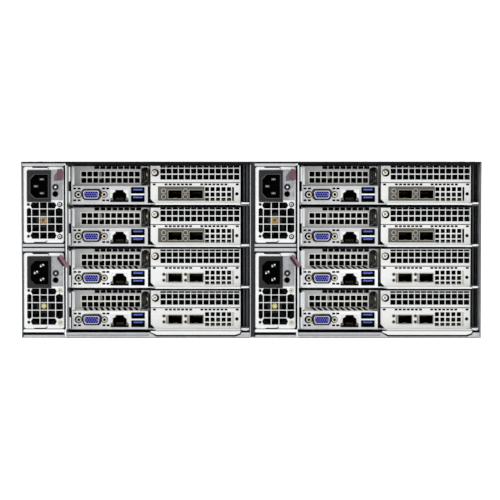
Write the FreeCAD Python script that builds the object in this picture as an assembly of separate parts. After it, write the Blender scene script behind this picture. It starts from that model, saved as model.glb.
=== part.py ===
import FreeCAD, Part
import os
import math

os.makedirs("parts", exist_ok=True)
V = FreeCAD.Vector

# ---------------------------------------------------------------- driving dimensions (mm)
# Frame: +X to the right seen from the rear, +Y to the front of the rack, +Z up.
# Y runs from the chassis rear edge while building; every piece is moved by -Y_MID at the end.
BODY_W = 448.0          # chassis width between the side walls' outer faces
BODY_H = 172.0          # four rack units less the clearance
BODY_L = 737.0          # chassis depth
SHEET = 1.2             # chassis sheet
HALF = 224.0            # half of the chassis width
SHIFT_B = 2.0           # the right half stands this much further right than the middle
EAR_W = 482.6           # 19 inch panel width
EAR_HOLE_X = 465.1      # hole spacing across the panel
EAR_HOLE_Z = 101.6      # hole spacing up the panel
LATCH_OUT = 10.0        # reach of the supply latches behind the rear edge
HANDLE_OUT = 762.0      # front of the sled pull tabs
Y_MID = (HANDLE_OUT - LATCH_OUT) / 2.0

ROWS = 4
ROW_PITCH = 41.0
ROW0 = 5.6              # bottom of the lowest sled cell
SLED_T = 1.2            # tray base
SLED_L = 43.9           # left side of the narrow rear part of a sled
SLED_R = 213.4          # right side of the narrow rear part
WIDE_L = 2.2            # wide front part of a sled
WIDE_R = 220.4
STEP_Y = 375.0          # where a sled widens
SLED_END = 733.0        # front end of a tray
BASE_Z = 1.6            # underside of a tray above its cell
BASE_T = BASE_Z + SLED_T
SIDE_TOP = 39.8         # top of the tray walls
PANEL_Y = 16.0          # rear face of the port plate, slot cover and network bracket
GRILLE_Y = 36.0         # recessed grille
LIP_Y = 2.0             # rear edge of the tray lip
FLANGE_Y = 3.0          # rear face of the flanges on the tray's left wall

PSU_L, PSU_R = 1.9, 41.2
PSU_Z = (93.0, 8.9)     # underside of the upper and lower supply
PSU_H = 74.3
PSU_Y0, PSU_Y1 = 3.0, 339.0
PSU_T = 1.0
FAN_U, FAN_Z = 20.9, 22.0
LATCH_U, LATCH_Z = 38.2, 69.4
LATCH_TILT = 35.0       # rest angle of the lower latches, swung over the bay wall


# ---------------------------------------------------------------- helpers
def box(x0, x1, y0, y1, z0, z1):
    return Part.makeBox(x1 - x0, y1 - y0, z1 - z0, V(x0, y0, z0))


def rounded_box(x0, x1, y0, y1, z0, z1, r):
    """Box whose four edges along Y are rounded."""
    s = box(x0, x1, y0, y1, z0, z1)
    return s.makeFillet(r, [e for e in s.Edges if abs(e.tangentAt(e.FirstParameter).y) > 0.9]).Solids[0]


def cyl_y(x, z, r, y0, y1):
    return Part.makeCylinder(r, y1 - y0, V(x, y0, z), V(0, 1, 0))


def cyl_z(x, y, r, z0, z1):
    return Part.makeCylinder(r, z1 - z0, V(x, y, z0), V(0, 0, 1))


def wire_xz(points, y):
    return Part.makePolygon([V(a, y, b) for a, b in points] + [V(points[0][0], y, points[0][1])])


def wire_xy(points, z):
    return Part.makePolygon([V(a, b, z) for a, b in points] + [V(points[0][0], points[0][1], z)])


def rect(x0, x1, z0, z1):
    return [(x0, z0), (x1, z0), (x1, z1), (x0, z1)]


def plate_y(outline, y0, y1, holes=(), rounds=()):
    """Flat plate square to Y: an outline, straight-sided holes and round holes (x, z, r)."""
    wires = [wire_xz(outline, y0)] + [wire_xz(h, y0) for h in holes]
    for x, z, r in rounds:
        wires.append(Part.Wire([Part.makeCircle(r, V(x, y0, z), V(0, 1, 0))]))
    face = Part.Face(wires, "Part::FaceMakerBullseye")
    return face.extrude(V(0, y1 - y0, 0)).Solids[0]


def plate_z(outline, z0, z1, holes=(), rounds=()):
    """Flat plate square to Z."""
    wires = [wire_xy(outline, z0)] + [wire_xy(h, z0) for h in holes]
    for x, y, r in rounds:
        wires.append(Part.Wire([Part.makeCircle(r, V(x, y, z0), V(0, 0, 1))]))
    face = Part.Face(wires, "Part::FaceMakerBullseye")
    return face.extrude(V(0, 0, z1 - z0)).Solids[0]


def join(parts):
    s = parts[0].fuse(parts[1:]).removeSplitter()
    assert len(s.Solids) == 1, "a joined piece came out as %d solids" % len(s.Solids)
    return s.Solids[0]


def minus(a, tools):
    s = a.cut(tools if isinstance(tools, list) else [tools])
    assert len(s.Solids) == 1, "a cut piece came out as %d solids" % len(s.Solids)
    return s.Solids[0]


def save(name, solids, dx=0.0, dz=0.0):
    out = []
    for s in solids:
        c = s.copy()
        c.translate(V(dx, -Y_MID, dz))
        assert c.isValid() and c.Volume > 0, name
        out.append(c)
    shape = out[0] if len(out) == 1 else Part.makeCompound(out)
    shape.exportStep("parts/%s.step" % name)


def grid(x0, n, pitch, w, z0, z1):
    return [rect(x0 + i * pitch, x0 + i * pitch + w, z0, z1) for i in range(n)]


# ---------------------------------------------------------------- sled: tray, front bezel, pull tab
def sled_tray():
    """Open tray of flat sheets that meet face to face: narrow at the rear, wide at the front."""
    left_open = rect(12.0, 38.0, 8.0, 32.0)
    return [
        box(SLED_L, SLED_R, PANEL_Y + 1, STEP_Y, BASE_Z, BASE_T),
        box(WIDE_L, WIDE_R, STEP_Y, SLED_END, BASE_Z, BASE_T),
        # lip under the network bracket
        plate_z([(125.2, PANEL_Y + 1), (130.6, LIP_Y), (SLED_R, LIP_Y), (SLED_R, PANEL_Y + 1)], BASE_Z, BASE_T),
        box(SLED_L, SLED_L + 1, FLANGE_Y, STEP_Y, BASE_T, SIDE_TOP),
        box(SLED_R - 1, SLED_R, PANEL_Y + 1, STEP_Y, BASE_T, SIDE_TOP),
        # two rear flanges of the left wall with a notch between them
        box(SLED_L + 1, 47.4, FLANGE_Y, FLANGE_Y + 1, 3.5, 14.7),
        box(SLED_L + 1, 47.4, FLANGE_Y, FLANGE_Y + 1, 24.3, 38.5),
        # shoulders where the tray widens, the left one open for the power connector
        plate_y(rect(WIDE_L, SLED_L + 1, BASE_T, SIDE_TOP), STEP_Y, STEP_Y + 1, [left_open]),
        box(SLED_R - 1, WIDE_R, STEP_Y, STEP_Y + 1, BASE_T, SIDE_TOP),
        box(WIDE_L, WIDE_L + 1, STEP_Y + 1, SLED_END, BASE_T, SIDE_TOP),
        box(WIDE_R - 1, WIDE_R, STEP_Y + 1, SLED_END, BASE_T, SIDE_TOP),
    ]


def sled_bezel():
    holes = []
    for u0 in (14.0, 131.6):
        for r in range(4):
            z = 6.4 + r * 8.0
            holes += grid(u0, 10, 8.0, 6.2, z, z + 6.2)
    return plate_y(rect(WIDE_L, WIDE_R, BASE_Z, 40.0), SLED_END, SLED_END + 2.0, holes)


def sled_handle():
    """Solid pull tab: a flat tongue with a thicker bead at its free edge."""
    c = (WIDE_L + WIDE_R) / 2.0
    y0, y1 = SLED_END + 2.0, HANDLE_OUT
    tongue = plate_z([(c - 34, y0), (c - 34, y1 - 12), (c - 28, y1 - 6), (c + 28, y1 - 6), (c + 34, y1 - 12), (c + 34, y0)], 18.6, 22.6)
    bead = plate_z([(c - 28, y1 - 6), (c - 26, y1), (c + 26, y1), (c + 28, y1 - 6)], 16.8, 24.4)
    return [tongue, bead]


# ---------------------------------------------------------------- sled: rear ports, covers and brackets
VGA_U, VGA_W = 67.2, 11.3
RJ = (86.0, 103.2, 4.5, 16.1)
USB = (106.2, 119.0, 4.5, 18.4)
SFP = ((142.0, 156.2), (162.8, 177.0))
SFP_Z = (7.0, 16.0)


def dee(w_top, w_bot, h):
    u, z = VGA_U, VGA_W
    c = 1.5
    return [(u - w_bot / 2 + c, z - h / 2), (u + w_bot / 2 - c, z - h / 2), (u + w_bot / 2, z - h / 2 + c),
            (u + w_top / 2, z + h / 2 - c), (u + w_top / 2 - c, z + h / 2), (u - w_top / 2 + c, z + h / 2),
            (u - w_top / 2, z + h / 2 - c), (u - w_bot / 2, z - h / 2 + c)]


def io_panel():
    y = PANEL_Y
    slots = [rect(u - 1.5, u + 1.5, z - 0.95, z + 0.95) for u in (50.7, 55.0, 79.0, 83.0) for z in (17.2, 5.6)]
    face = plate_y(rect(47.5, 122.3, 1.8, 18.5), y, y + 1,
                   [dee(18.2, 16.6, 10.0), rect(*RJ), rect(*USB)] + slots)
    shelf_holes = [rect(53.0 + i * 6.2, 57.2 + i * 6.2, y + 5.0, y + 16.5) for i in range(11)]
    shelf = plate_z(rect(47.5, 122.3, y, GRILLE_Y), 18.5, 19.5, shelf_holes)
    holes = []
    for z in (31.2, 24.9):
        holes += grid(58.1 - 2.35, 10, 5.88, 4.7, z - 2.35, z + 2.35)
    holes += grid(69.0, 8, 5.9, 4.4, 36.3, 38.8)
    # tall opening with an arched top beside the card cage
    arch = [(114.9, 20.6), (123.1, 20.6), (123.1, 34.0)]
    for k in range(1, 8):
        a = math.radians(180.0 * k / 8.0)
        arch.append((119.0 + 4.1 * math.cos(a), 34.0 + 4.1 * math.sin(a)))
    arch.append((114.9, 34.0))
    grille = plate_y(rect(47.5, 123.9, 18.5, 39.8), GRILLE_Y, GRILLE_Y + 1, holes + [arch])
    side = box(47.5, 48.5, y, GRILLE_Y, 19.5, 39.0)
    flange = box(48.5, 50.4, y, y + 1, 20.9, 38.5)
    cage_wall = box(124.0, 125.0, y + 1, 110.0, 4.5, SIDE_TOP)     # between the ports and the card slots
    return [face, shelf, grille, side, flange, cage_wall]


def slot_cover():
    y = PANEL_Y
    u0, pitch, w = 134.8, 6.03, 5.0
    holes = grid(u0, 13, pitch, w, 31.9, 36.5) + grid(u0, 13, pitch, w, 26.0, 30.6) + grid(u0, 13, pitch, w, 37.7, 39.2)
    face = plate_y(rect(125.2, 213.2, 23.3, 39.8), y, y + 1, holes, [(129.8, 32.6, 2.1)])
    top = box(125.2, 212.2, y + 1, y + 12, 39.4, 39.8)
    return [face, top]


def thumb_screw():
    head = cyl_y(129.8, 32.6, 3.7, PANEL_Y - 3.2, PANEL_Y)
    return join([head, cyl_y(129.8, 32.6, 1.9, PANEL_Y, PANEL_Y + 7)])


def nic_outline():
    return [(129.2, BASE_T), (213.2, BASE_T), (213.2, 22.5), (125.2, 22.5), (125.2, 6.8)]


def nic_vents():
    holes = []
    for i in range(5):
        u = 178.5 + i * 5.4
        for z0, z1 in ((14.5, 18.6), (9.2, 13.3), (4.9, 8.1)):
            holes.append(rect(u, u + 4.1, z0, z1))
    holes.append(rect(205.1, 207.0, 4.9, 18.6))
    for u in [128.7, 210.2] + [140.4 + 4.0 * i for i in range(7)] + [175.4 + 3.95 * i for i in range(7)]:
        holes.append(rect(u - 1.2, u + 1.2, 20.4, 21.9))
    return holes


LEDS = [(138.0, 14.8, 1.1), (138.0, 9.0, 1.1), (159.4, 14.8, 1.1), (159.4, 9.0, 1.1)]


def nic_bracket(windowed):
    """Low bracket of the network card. The windowed kind shows the card's own dark face behind a large opening."""
    y = PANEL_Y
    ports = [rect(a, b, SFP_Z[0], SFP_Z[1]) for a, b in SFP]
    hole = [(209.8, 11.9, 1.7)]
    if not windowed:
        return [plate_y(nic_outline(), y, y + 1, ports + nic_vents(), LEDS + hole)]
    frame = plate_y(nic_outline(), y, y + 1, [rect(132.4, 178.0, 5.2, 19.2)] + nic_vents(), hole)
    inner = plate_y(rect(131.4, 178.3, 4.2, 20.2), y + 1, y + 2, ports, LEDS)
    return [frame, inner]


def sfp_cage(a, b):
    z0, z1 = SFP_Z
    t = 0.45
    return minus(box(a, b, PANEL_Y - 0.6, 62.0, z0, z1), box(a + t, b - t, PANEL_Y - 1, 61.5, z0 + t, z1 - t))


def vga():
    y = PANEL_Y
    shell = plate_y(dee(18.2, 16.6, 10.0), y - 6.0, y + 6.0, [dee(16.6, 15.0, 8.4)])
    insert = plate_y(dee(15.8, 14.2, 7.5), y - 5.4, y + 6.0)
    body = box(VGA_U - 9.8, VGA_U + 9.8, y + 6.0, y + 15.0, 4.5, 16.8)
    out = [shell, insert, body]
    for s in (-12.6, 12.6):
        pts = [(VGA_U + s + 2.7 * math.cos(math.radians(60 * k)), VGA_W + 2.7 * math.sin(math.radians(60 * k))) for k in range(6)]
        out.append(plate_y(pts, y - 4.5, y, [], [(VGA_U + s, VGA_W, 1.4)]))
    return out


def rj45():
    y = PANEL_Y
    blk = box(RJ[0], RJ[1], y - 0.5, y + 20, RJ[2], RJ[3])
    return minus(blk, [box(88.4, 100.9, y - 1, y + 16, 5.6, 12.9), box(91.2, 98.2, y - 1, y + 14, 12.9, 15.3)])


def usb():
    """Stacked pair: a back block, two side walls and three flat walls around two cavities, with a tongue in each."""
    y = PANEL_Y
    u0, u1, z0, z1 = USB
    return [box(u0, u1, y + 11, y + 18, z0, z1),
            box(u0, u0 + 0.4, y - 0.6, y + 11, z0, z1), box(u1 - 0.4, u1, y - 0.6, y + 11, z0, z1),
            box(u0 + 0.4, u1 - 0.4, y - 0.6, y + 11, z0, 4.9),
            box(u0 + 0.4, u1 - 0.4, y - 0.6, y + 11, 10.5, 12.3),
            box(u0 + 0.4, u1 - 0.4, y - 0.6, y + 11, 18.0, z1),
            box(108.0, 117.2, y + 0.8, y + 11, 15.4, 16.8),
            box(108.0, 117.2, y + 0.8, y + 11, 7.8, 9.2)]


def sled_rear(windowed):
    return (io_panel() + slot_cover() + [thumb_screw()] + nic_bracket(windowed) +
            [sfp_cage(a, b) for a, b in SFP] + vga() + [rj45()] + usb())


# ---------------------------------------------------------------- sled: boards, heat sinks, memory, blower, drives
BLOW_U, BLOW_Y = 112.0, 450.0


def heatsink(u0, u1, y0, y1):
    z0, zb, z1 = 9.0, 13.0, 37.0
    n = 17
    pitch = (u1 - u0 - 1.0) / (n - 1)
    pts = [(u0, z0), (u1, z0)]
    for i in range(n - 1, -1, -1):
        a = u0 + i * pitch
        pts += [(a + 1.0, z1), (a, z1)]
        if i:
            pts += [(a, zb), (a - pitch + 1.0, zb)]
    return plate_y(pts, y0, y1)


def blower_housing():
    z0, z1 = 4.5, 38.6
    b = box(BLOW_U - 50, BLOW_U + 50, BLOW_Y - 54, BLOW_Y + 50, z0, z1)
    b = minus(b, [cyl_z(BLOW_U, BLOW_Y, 46.0, z0 + 2, z1 - 2),
                  cyl_z(BLOW_U, BLOW_Y, 33.0, z1 - 2.5, z1 + 1),
                  box(BLOW_U - 46, BLOW_U + 6, BLOW_Y - 55, BLOW_Y, z0 + 2, z1 - 2)])
    return join([b, cyl_z(BLOW_U, BLOW_Y, 2.25, z0 + 2, z0 + 14)])


def blower_rotor():
    z0, z1 = 7.2, 35.6
    disc = cyl_z(BLOW_U, BLOW_Y, 43.0, z0, z0 + 1.6)
    hub = cyl_z(BLOW_U, BLOW_Y, 17.0, z0, z0 + 20.0)
    parts = [disc, hub]
    for k in range(20):
        blade = box(30.0, 42.4, -0.6, 0.6, z0, z1)
        blade.rotate(V(36.0, 0, 0), V(0, 0, 1), 28.0)
        blade.rotate(V(0, 0, 0), V(0, 0, 1), 18.0 * k)
        blade.translate(V(BLOW_U, BLOW_Y, 0))
        parts.append(blade)
    return minus(join(parts), cyl_z(BLOW_U, BLOW_Y, 2.3, z0 - 1, z0 + 12))


def sled_boards():
    out = [box(46.0, 211.4, PANEL_Y + 2.5, 385.0, BASE_T, 4.5),
           box(30.0, 196.0, 385.0, 560.0, BASE_T, 4.5)]
    out.append(box(127.0, 211.0, PANEL_Y + 2.0, 118.0, 5.4, 7.0))           # network card
    out.append(box(190.0, 208.0, 70.0, 112.0, 4.5, 5.4))                     # its connector
    out.append(box(127.5, 160.0, 70.0, 110.0, 7.0, 15.0))                    # its heat spreader
    out.append(box(60.0, 84.0, 60.0, 84.0, 4.5, 12.0))                       # management controller
    for y0 in (130.0, 262.0):
        out.append(box(102.0, 152.0, y0 + 22, y0 + 78, 4.5, 9.0))            # processor
        out.append(heatsink(84.0, 170.0, y0, y0 + 100.0))
        for u in (49.5, 57.5, 65.5, 73.5, 176.5, 184.5, 192.5, 200.5):
            out.append(join([box(u, u + 5.0, y0 - 8, y0 + 108, 4.5, 8.0),    # memory module in its socket
                             box(u + 1.8, u + 3.2, y0 - 4, y0 + 104, 8.0, 36.0)]))
    out.append(blower_housing())
    out.append(join([box(12.0, 38.0, 366.0, 400.0, 8.0, 32.0),               # power connector in the shoulder, on its foot
                     box(12.0, 38.0, 376.0, 385.0, BASE_T, 8.0)]))
    for u in (24.0, 130.0):
        out.append(box(u, u + 70.0, 590.0, 690.0, BASE_T, BASE_T + 15.0))    # drive
    return out


# ---------------------------------------------------------------- power supplies
def psu_case():
    y0, y1, t = PSU_Y0, PSU_Y1, PSU_T
    yb, r0 = y0 + 1.2, 2.2
    face = rounded_box(PSU_L, PSU_R, y0, yb, 0, PSU_H, r0)
    tube = minus(rounded_box(PSU_L, PSU_R, yb, y1, 0, PSU_H, r0), rounded_box(PSU_L + t, PSU_R - t, y0, y1 + 1, t, PSU_H - t, r0 - t))
    tools = [box(7.0, 27.2, y0 - 1, y0 + 2, 41.4, 69.2)]
    us = [5.8, 9.7, 17.4, 25.0, 32.7, 39.1]
    zs = [4.2, 10.6, 18.2, 25.6, 33.1, 39.2]
    h = 0.62
    for i in range(5):
        for j in range(5):
            a, b = us[i] + (h if i else 0), us[i + 1] - (h if i < 4 else 0)
            c, d = zs[j] + (h if j else 0), zs[j + 1] - (h if j < 4 else 0)
            edge_i, edge_j = i in (0, 4), j in (0, 4)
            if edge_i and edge_j:
                continue
            pts = rect(a, b, c, d)
            # openings beside the corners are cut at 45 degrees, which leaves room for the corner screws
            if edge_j and i == 1:
                pts = [(a, c), (b, c), (b, d), (a, d), (a - 1.6, (c + d) / 2)]
            if edge_j and i == 3:
                pts = [(a, c), (b, c), (b + 1.6, (c + d) / 2), (b, d), (a, d)]
            if edge_i and j == 1:
                pts = [(a, c), ((a + b) / 2, c - 1.6), (b, c), (b, d), (a, d)]
            if edge_i and j == 3:
                pts = [(a, c), (b, c), (b, d), ((a + b) / 2, d + 1.6), (a, d)]
            tools.append(plate_y(pts, y0 - 1, y0 + 2))
    tools += [cyl_y(33.1, 54.3, 2.4, y0 - 1, y0 + 2), cyl_y(32.9, 47.6, 2.4, y0 - 1, y0 + 2),
              cyl_y(LATCH_U, LATCH_Z, 1.5, y0 - 1, y0 + 2)]
    for u in (6.4, 37.0):
        for z in (6.2, 37.6):
            tools.append(cyl_y(u, z, 1.2, y0 - 1, y0 + 2))
    face = minus(face, tools)
    # the face is four plates round the inlet
    out = [face.common(box(*r)).Solids[0] for r in ((0, 50, y0 - 1, yb + 1, -1, 41.4), (0, 50, y0 - 1, yb + 1, 69.2, 80),
                                                    (0, 7.0, y0 - 1, yb + 1, 41.4, 69.2), (27.2, 50, y0 - 1, yb + 1, 41.4, 69.2))]
    # flat walls of the case and the rounds between them
    xa, xb, za, zb = PSU_L + r0, PSU_R - r0, r0, PSU_H - r0
    out += [box(PSU_L, PSU_L + t, yb, y1, za, zb), box(PSU_R - t, PSU_R, yb, y1, za, zb),
            box(xa, xb, yb, y1, 0, t), box(xa, xb, yb, y1, PSU_H - t, PSU_H)]
    for x0, x1 in ((PSU_L - 1, xa), (xb, PSU_R + 1)):
        for z0, z1 in ((-1, za), (zb, PSU_H + 1)):
            out.append(tube.common(box(x0, x1, yb - 1, y1 + 1, z0, z1)).Solids[0])
    # fan frame behind the openings
    r = 17.95
    frame = minus(box(FAN_U - r + 0.1, FAN_U + r, y0 + 1.2, y0 + 27, FAN_Z - r, FAN_Z + r),
                  cyl_y(FAN_U, FAN_Z, 17.0, y0, y0 + 24))
    hole = [cyl_y(FAN_U, FAN_Z, 16.0, y0 + 23, y0 + 28)]
    frame = minus(frame, hole)
    cross = [box(FAN_U - 16.4, FAN_U + 16.4, y0 + 25, y0 + 27, FAN_Z - 1.2, FAN_Z + 1.2),
             box(FAN_U - 1.2, FAN_U + 1.2, y0 + 25, y0 + 27, FAN_Z - 16.4, FAN_Z + 16.4),
             cyl_y(FAN_U, FAN_Z, 7.5, y0 + 25, y0 + 27), cyl_y(FAN_U, FAN_Z, 1.45, y0 + 12, y0 + 26)]
    out.append(join([frame] + cross))
    # board on the left wall, large components, card edge at the front
    out.append(box(PSU_L + t, PSU_L + t + 1.6, 44.0, 334.0, 3.0, 71.0))
    for y, w, z0, z1, u in ((60, 34, 8, 44, 30), (110, 40, 8, 66, 33), (164, 52, 10, 40, 35), (164, 52, 44, 68, 26),
                            (226, 30, 10, 66, 31), (268, 44, 8, 64, 24)):
        out.append(box(PSU_L + t + 1.6, u, y, y + w, z0, z1))
    out.append(box(PSU_L + t + 1.6, 21.0, 322.0, 334.0, 16.0, 58.0))
    out.append(box(19.0, 21.0, 334.0, 340.2, 18.0, 56.0))
    # corner screws of the fan and the two indicator lenses
    for u in (6.4, 37.0):
        for z in (6.2, 37.6):
            out.append(cyl_y(u, z, 1.2, y0 - 0.3, y0 + 1.2))
    out.append(cyl_y(33.1, 54.3, 2.4, y0 - 0.4, y0 + 1.6))
    return out


def psu_inlet():
    """Inlet with a keyed cavity: flange bars, walls, corner fillings and back, and three blades."""
    ya, yb, yc, yd = PSU_Y0 - 1.4, PSU_Y0, PSU_Y0 + 16.0, PSU_Y0 + 22.0
    c = 4.6
    u0, u1, z0, z1 = 8.6, 26.0, 43.6, 66.6
    out = [box(5.5, u0, ya, yb, 39.8, 70.8), box(u1, 28.7, ya, yb, 39.8, 70.8),
           box(u0, u1, ya, yb, 39.8, z0), box(u0, u1, ya, yb, z1, 70.8),
           box(7.0, u0, yb, yc, 41.4, 69.2), box(u1, 27.2, yb, yc, 41.4, 69.2),
           box(u0, u1, yb, yc, 41.4, z0), box(u0, u1, yb, yc, z1, 69.2),
           box(7.0, 27.2, yc, yd, 41.4, 69.2),
           plate_y([(u0, z0), (u0 + c, z0), (u0, z0 + c)], ya, yc), plate_y([(u0, z1), (u0, z1 - c), (u0 + c, z1)], ya, yc)]
    out += [box(u - 2.0, u + 2.0, PSU_Y0 + 2, yc, z - 1.0, z + 1.0) for u, z in ((19.6, 61.9), (19.6, 48.3), (13.6, 55.1))]
    return out


def psu_fan():
    y0 = PSU_Y0
    a, b = y0 + 4.0, y0 + 21.0
    hub = cyl_y(FAN_U, FAN_Z, 7.2, a, b)
    parts = [hub]
    for k in range(7):
        blade = box(-8.5, 8.5, -0.5, 0.5, 5.0, 15.7)
        blade.rotate(V(0, 0, 0), V(0, 0, 1), 52.0)
        blade.translate(V(0, (a + b) / 2, 0))
        blade.rotate(V(0, 0, 0), V(0, 1, 0), 360.0 / 7 * k)
        blade.translate(V(FAN_U, 0, FAN_Z))
        parts.append(blade)
    return [minus(join(parts), cyl_y(FAN_U, FAN_Z, 1.5, a + 6, b + 1))]


def psu_latch(tilt):
    y0 = PSU_Y0
    u, z = LATCH_U, LATCH_Z
    ya, yb = -LATCH_OUT, -0.6
    head = 1.7
    tab = [(u - 2.3, z + head), (u - 1.4, z + head + 0.8), (u + 1.4, z + head + 0.8), (u + 2.3, z + head),
           (u + 2.3, z - 7.6), (u + 1.4, z - 8.6), (u - 1.4, z - 8.6), (u - 2.3, z - 7.6)]
    body = plate_y(tab, ya, yb)
    s = join([body, cyl_y(u, z, 1.9, yb, y0 - 0.4), cyl_y(u, z, 1.45, yb, y0 + 2.6), cyl_y(u, z, 1.7, y0 + 1.6, y0 + 2.6)])
    if tilt:
        s.rotate(V(u, 0, z), V(0, -1, 0), tilt)
    return [s]


# ---------------------------------------------------------------- chassis
SCREW_Y = (40.0, 120.0, 200.0, 280.0, 350.0)
EAR_SCREW = ((704.0, 30.0), (704.0, 86.0), (704.0, 142.0))
TOP_Z = BODY_H - SHEET


def chassis_base():
    h = BODY_W / 2
    parts = [box(-h, h, 0, BODY_L, 0, SHEET)]
    for s in (-1, 1):
        a, b = sorted((s * h, s * (h - SHEET)))
        parts.append(box(a, b, 0, BODY_L, 0, TOP_Z))
        a, b = sorted((s * h, s * (h - 9.0)))
        parts.append(box(a, b, 20, 362, TOP_Z - SHEET, TOP_Z))
    s = join(parts)
    tools = []
    for sx in (-1, 1):
        tools += [cyl_z(sx * (h - 5.2), y, 1.6, TOP_Z - 3, TOP_Z + 1) for y in SCREW_Y]
        tools += [Part.makeCylinder(1.6, 4, V(sx * (h + 1), y, z), V(-sx, 0, 0)) for y, z in EAR_SCREW]
    return [minus(s, tools)]


def top_cover():
    h = BODY_W / 2
    rounds = [(s * (h - 5.2), y, 3.2) for s in (-1, 1) for y in SCREW_Y]
    s = plate_z(rect(-h, h, 0, BODY_L), TOP_Z, BODY_H, [], rounds)
    # shallow pressed panels that stiffen the cover
    beads = []
    for x in (-112.0, 112.0):
        for y0, y1 in ((60.0, 320.0), (400.0, 690.0)):
            beads.append(box(x - 84, x + 84, y0, y1, BODY_H - 0.4, BODY_H + 1))
    return [minus(s, beads)]


def center_divider():
    return [box(-0.6, 0.6, 7.0, 730.0, SHEET, TOP_Z), box(-1.3, 1.3 + SHIFT_B, 0, 7.0, SHEET, TOP_Z),
            box(-2.9, 3.5, 730.0, BODY_L - 2, SHEET, TOP_Z)]


def psu_bay(left):
    u0 = SHEET if left else 0.6 - SHIFT_B      # plates reach the side wall or the divider
    ul = SHEET if left else 1.3      # lips clear the divider's hem
    wall = box(42.0, 43.2, 0, 352.0, SHEET, TOP_Z)
    parts = [wall]
    for z0, z1, p0, p1 in ((167.8, 170.4, 169.4, 170.4), (89.4, 91.9, 90.9, 91.9), (84.8, 87.9, 84.8, 85.8), (3.4, 7.4, 6.4, 7.4)):
        parts.append(box(ul, 42.0, 0, 1.2, z0, z1))
        top = p1 > 169
        y1 = 19.0 if top else 338.0
        parts.append(box(ul, 42.0, 0, 8.0, p0, p1))
        parts.append(box(u0, 42.0, 8.0, y1, p0, p1))
    return [join(parts)]


def guide_rails():
    out = []
    for half in (0, 1):
        xh = -HALF if half == 0 else SHIFT_B
        right = (HALF - 0.6) if half == 0 else (HALF - SHEET - SHIFT_B)
        left = SHEET if half == 0 else 0.6 - SHIFT_B
        tip = min(221.6, right - 1.2)
        for r in range(ROWS):
            z = ROW0 + r * ROW_PITCH
            out.append(box(xh + 43.2, xh + 47.0, 42.0, 352.0, z, z + 1.2))
            # channel beside the sled: a bar with a tapered end, a web and a foot
            out.append(plate_z([(xh + 214.1, 4.0), (xh + tip, 4.0), (xh + right, 9.0), (xh + right, 368.0), (xh + 214.1, 368.0)], z + 2.2, z + 3.7))
            out.append(box(xh + right - 1.2, xh + right, 30.0, 368.0, z + 1.2, z + 2.2))
            out.append(box(xh + 209.0, xh + right, 30.0, 368.0, z, z + 1.2))
            out.append(box(xh + left, xh + 8.0, 400.0, 730.0, z, z + 1.2))
            out.append(box(xh + 216.0, xh + right, 400.0, 730.0, z, z + 1.2))
        # raised rear edge of the floor under the sleds
        out.append(box(xh + 43.2, xh + (HALF - 1.3 if half == 0 else right), 0, SHEET, SHEET, 5.4))
    return out


def power_board(left):
    u0 = SHEET if left else 0.6 - SHIFT_B
    out = [box(u0, 42.0, 349.6, 352.0, 3.0, 168.0)]
    for z in PSU_Z:
        out.append(box(12.0, 30.0, 341.0, 349.6, z + 14, z + 60))
    for r in range(ROWS):
        z = ROW0 + r * ROW_PITCH
        out.append(box(12.0, 38.0, 352.0, 365.0, z + 8.0, z + 32.0))
    return out


def rack_ear(s):
    h = BODY_W / 2
    x0, x1 = sorted((s * h, s * (h + 2.0)))
    leg = box(x0, x1, 690.0, 736.0, 4.0, 168.0)
    f0, f1 = sorted((s * h, s * EAR_W / 2))
    flange = box(f0, f1, 733.6, 736.0, 1.0, 171.0)
    ear = join([leg, flange])
    tools = [Part.makeCylinder(1.6, 4, V(s * (h - 1), y, z), V(s, 0, 0)) for y, z in EAR_SCREW]
    xc, r, half = s * EAR_HOLE_X / 2, 3.4, 1.6
    for dz in (-EAR_HOLE_Z / 2, EAR_HOLE_Z / 2):
        z = BODY_H / 2 + dz
        tools.append(cyl_y(xc - half, z, r, 730, 740).fuse([cyl_y(xc + half, z, r, 730, 740),
                                                            box(xc - half, xc + half, 730, 740, z - r, z + r)]).removeSplitter())
    return [minus(ear, tools)]


def cover_screws():
    h = BODY_W / 2
    out = []
    for s in (-1, 1):
        for y in SCREW_Y:
            x = s * (h - 5.2)
            out.append(join([cyl_z(x, y, 3.2, TOP_Z, BODY_H - 0.1), cyl_z(x, y, 1.6, TOP_Z - 1.9, TOP_Z)]))
    return out


def ear_screws():
    h = BODY_W / 2
    out = []
    for s in (-1, 1):
        for y, z in EAR_SCREW:
            head = Part.makeCylinder(3.4, 1.6, V(s * (h + 2.0), y, z), V(s, 0, 0))
            shank = Part.makeCylinder(1.6, 2.0 + SHEET, V(s * (h - SHEET), y, z), V(s, 0, 0))
            out.append(join([head, shank]))
    return out


# ---------------------------------------------------------------- build everything
save("chassis_base", chassis_base())
save("top_cover", top_cover())
save("center_divider", center_divider())
save("guide_rails", guide_rails())
save("rack_ear_left", rack_ear(-1))
save("rack_ear_right", rack_ear(1))
save("cover_screws", cover_screws())
save("ear_screws", ear_screws())

tray_set = sled_tray() + [sled_bezel()] + sled_handle()
rear_windowed, rear_plain = sled_rear(True), sled_rear(False)
boards = sled_boards()
rotor = [blower_rotor()]
case, inlet, fan = psu_case(), psu_inlet(), psu_fan()

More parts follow.
